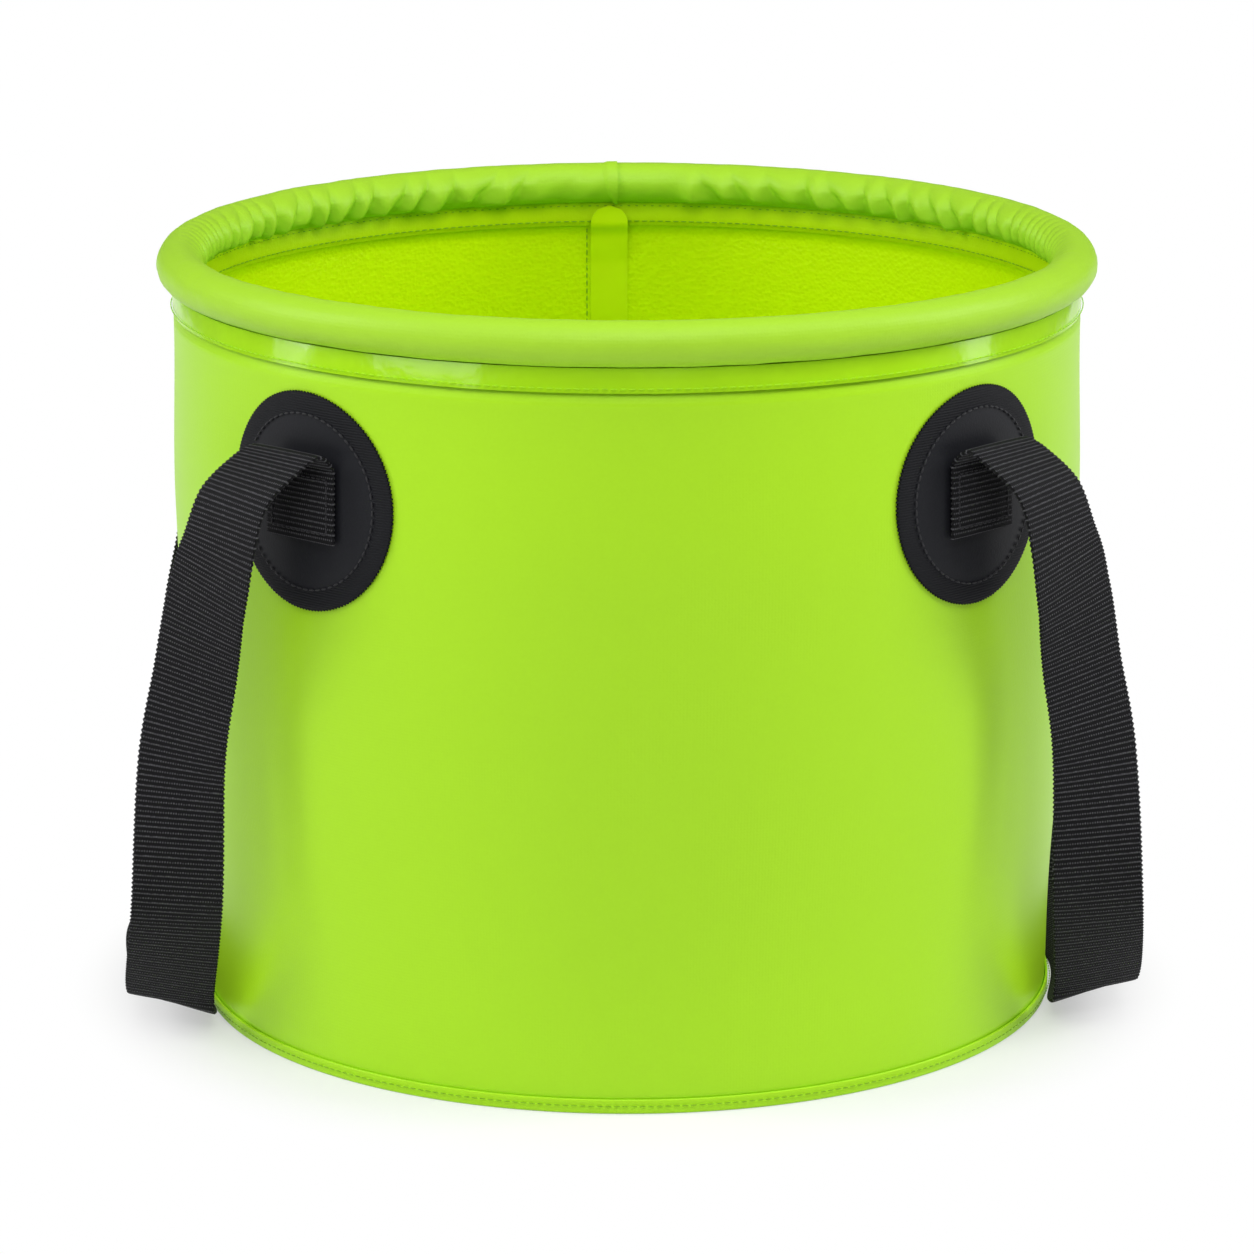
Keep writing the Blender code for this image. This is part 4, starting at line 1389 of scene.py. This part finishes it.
class BUCKET_OT_box_stitches(bpy.types.Operator):
    """Box of zigzag stitches through each sewn end"""

    bl_idname = "bucket.box_stitches"
    bl_label = "Box Stitches"

    def execute(self, context):
        look, sewing = context.scene.bucket_handles, context.scene.bucket_stitches
        thread = thread_finish("box_thread", look.patch_thread)
        half = WEBBING_WIDTH / 2 - BOX_STITCH_INSET
        low, high = BOX_STITCH_INSET - SEWN_DROP, SEWN_LENGTH - SEWN_DROP - BOX_STITCH_INSET
        corners = [(-half, low), (half, low), (half, high), (-half, high), (-half, low)]
        lift = PATCH_STANDOFF + WEBBING_THICKNESS + THREAD_RADIUS
        for side, end in CORNERS:
            shape = bmesh.new()
            for a, b in zip(corners, corners[1:]):
                run = Vector((b[0] - a[0], b[1] - a[1], 0))
                count = round(run.length / sewing.box_pitch)
                for i in range(count):
                    place = Vector((*a, 0)) + run * (i + 0.5) / count
                    add_stitch(shape, place, run.normalized(), UP, sewing.box_pitch * sewing.length_share)
            lay_on_wall(shape, side, end, lift)
            where = f"{end}_{side}"
            add_piece(
                f"box_stitches_{where}", shape, [thread], "rim", [f"box_stitching_{where}"]
            )
        return {"FINISHED"}


# Stage


def seen_share(nodes, *kinds):
    """1 for rays of these kinds, and 0 for the rest."""
    path = nodes.node("ShaderNodeLightPath")
    first, *others = (Value(nodes, path.outputs[kind]) for kind in kinds)
    for other in others:
        first = first.maths("MAXIMUM", other)
    return first


def floor_finish():
    """A white floor that keeps the bucket's shadow close by, and is plain white further out."""
    constants = {"Base Color": (0.86, 0.86, 0.86), "Roughness": 0.9, "Specular IOR Level": 0.1}
    finish = Finish("floor_white", constants)
    x, y, _ = finish.parts(finish.place())
    far = ((x * x + y * y) ** 0.5).step(*SHADOW_EDGE) * (1 - NEAR_GLOW) + NEAR_GLOW
    glow = finish.node("ShaderNodeEmission", {}, {"Color": (1, 1, 1, 1), "Strength": 1.0})
    share = far * seen_share(finish, "Is Camera Ray", "Is Glossy Ray", "Is Transmission Ray")
    white = finish.surface.outputs[0]
    mix = finish.node("ShaderNodeMixShader", {}, {0: share, 1: white, 2: glow.outputs[0]})
    finish.join(mix.outputs[0], finish.tree.nodes["Material Output"].inputs["Surface"])
    return finish.material


def add_lamp(name, turn, rise, size, power):
    """A soft lamp that faces the bucket's middle, turned from the front and raised by two angles."""
    data = bpy.data.lights.new(name, "AREA")
    data.shape, data.size, data.size_y, data.energy = "RECTANGLE", size[0], size[1], power
    lamp = bpy.data.objects.new(name, data)
    level = Vector((math.sin(turn), -math.cos(turn), 0)) * math.cos(rise)
    away = level + UP * math.sin(rise)
    lamp.location = UP * LAMP_AIM_HEIGHT + away * LAMP_REACH
    lamp.rotation_euler = (-away).to_track_quat("-Z", "Y").to_euler()
    bpy.context.scene.collection.objects.link(lamp)


class BUCKET_OT_stage(bpy.types.Operator):
    """Camera, floor, room light and soft lamps"""

    bl_idname = "bucket.stage"
    bl_label = "Stage"

    def execute(self, context):
        stage, scene = context.scene.bucket_stage, context.scene
        camera_data = bpy.data.cameras.new("camera")
        camera_data.lens, camera_data.sensor_width = stage.lens, SENSOR_WIDTH_MM
        camera = bpy.data.objects.new("camera", camera_data)
        camera.location = (
            -stage.distance * math.sin(stage.yaw),
            -stage.distance * math.cos(stage.yaw),
            stage.height,
        )
        camera.rotation_euler = (math.pi / 2 - stage.pitch, 0, -stage.yaw)
        scene.collection.objects.link(camera)
        scene.camera = camera

        shape = bmesh.new()
        bmesh.ops.create_circle(shape, cap_ends=True, segments=FLOOR_SIDES, radius=FLOOR_RADIUS)
        mesh = bpy.data.meshes.new("floor")
        shape.to_mesh(mesh)
        shape.free()
        mesh.materials.append(floor_finish())
        floor = bpy.data.objects.new("floor", mesh)
        scene.collection.objects.link(floor)

        scene.world = bpy.data.worlds.new("room")
        scene.world.use_nodes = True
        nodes = Nodes(scene.world.node_tree)
        straight = seen_share(nodes, "Is Camera Ray", "Is Transmission Ray")
        light = straight.maths("MAXIMUM", seen_share(nodes, "Is Glossy Ray") * stage.mirrored)
        nodes.join(light.maths("MAXIMUM", stage.ambient), nodes.tree.nodes["Background"].inputs["Strength"])
        nodes.join((1, 1, 1, 1), nodes.tree.nodes["Background"].inputs["Color"])

        for name, (turn, rise, width, height, power) in LAMPS.items():
            add_lamp(name, math.radians(turn), math.radians(rise), (width, height), power * stage.light)
        scene.view_settings.view_transform = "Standard"
        return {"FINISHED"}


OPERATORS = [
    BUCKET_OT_base,
    BUCKET_OT_wall,
    BUCKET_OT_wall_seam,
    BUCKET_OT_rim_cover,
    BUCKET_OT_rim_lap,
    BUCKET_OT_rim_tape,
    BUCKET_OT_rim_stitches,
    BUCKET_OT_rim_core,
    BUCKET_OT_patches,
    BUCKET_OT_handles,
    BUCKET_OT_box_stitches,
    BUCKET_OT_stage,
]


class BUCKET_PT_panel(bpy.types.Panel):
    """Sizes, colours and pieces of the bucket"""

    bl_idname = "BUCKET_PT_panel"
    bl_label = "Camp Bucket"
    bl_space_type = "VIEW_3D"
    bl_region_type = "UI"
    bl_category = "Bucket"

    def draw(self, context):
        for name, group in GROUPS.items():
            box = self.layout.box()
            for key in group.__annotations__:
                box.prop(getattr(context.scene, name), key)
        for operator in OPERATORS:
            self.layout.operator(operator.bl_idname)


CLASSES = [*GROUPS.values(), *OPERATORS, BUCKET_PT_panel]


def register():
    for made in CLASSES:
        bpy.utils.register_class(made)
    for name, group in GROUPS.items():
        setattr(bpy.types.Scene, name, bpy.props.PointerProperty(type=group))


def unregister():
    for name in GROUPS:
        delattr(bpy.types.Scene, name)
    for made in reversed(CLASSES):
        bpy.utils.unregister_class(made)


def main():
    register()
    for operator in OPERATORS:
        group, name = operator.bl_idname.split(".")
        getattr(getattr(bpy.ops, group), name)()


if __name__ == "__main__":
    main()
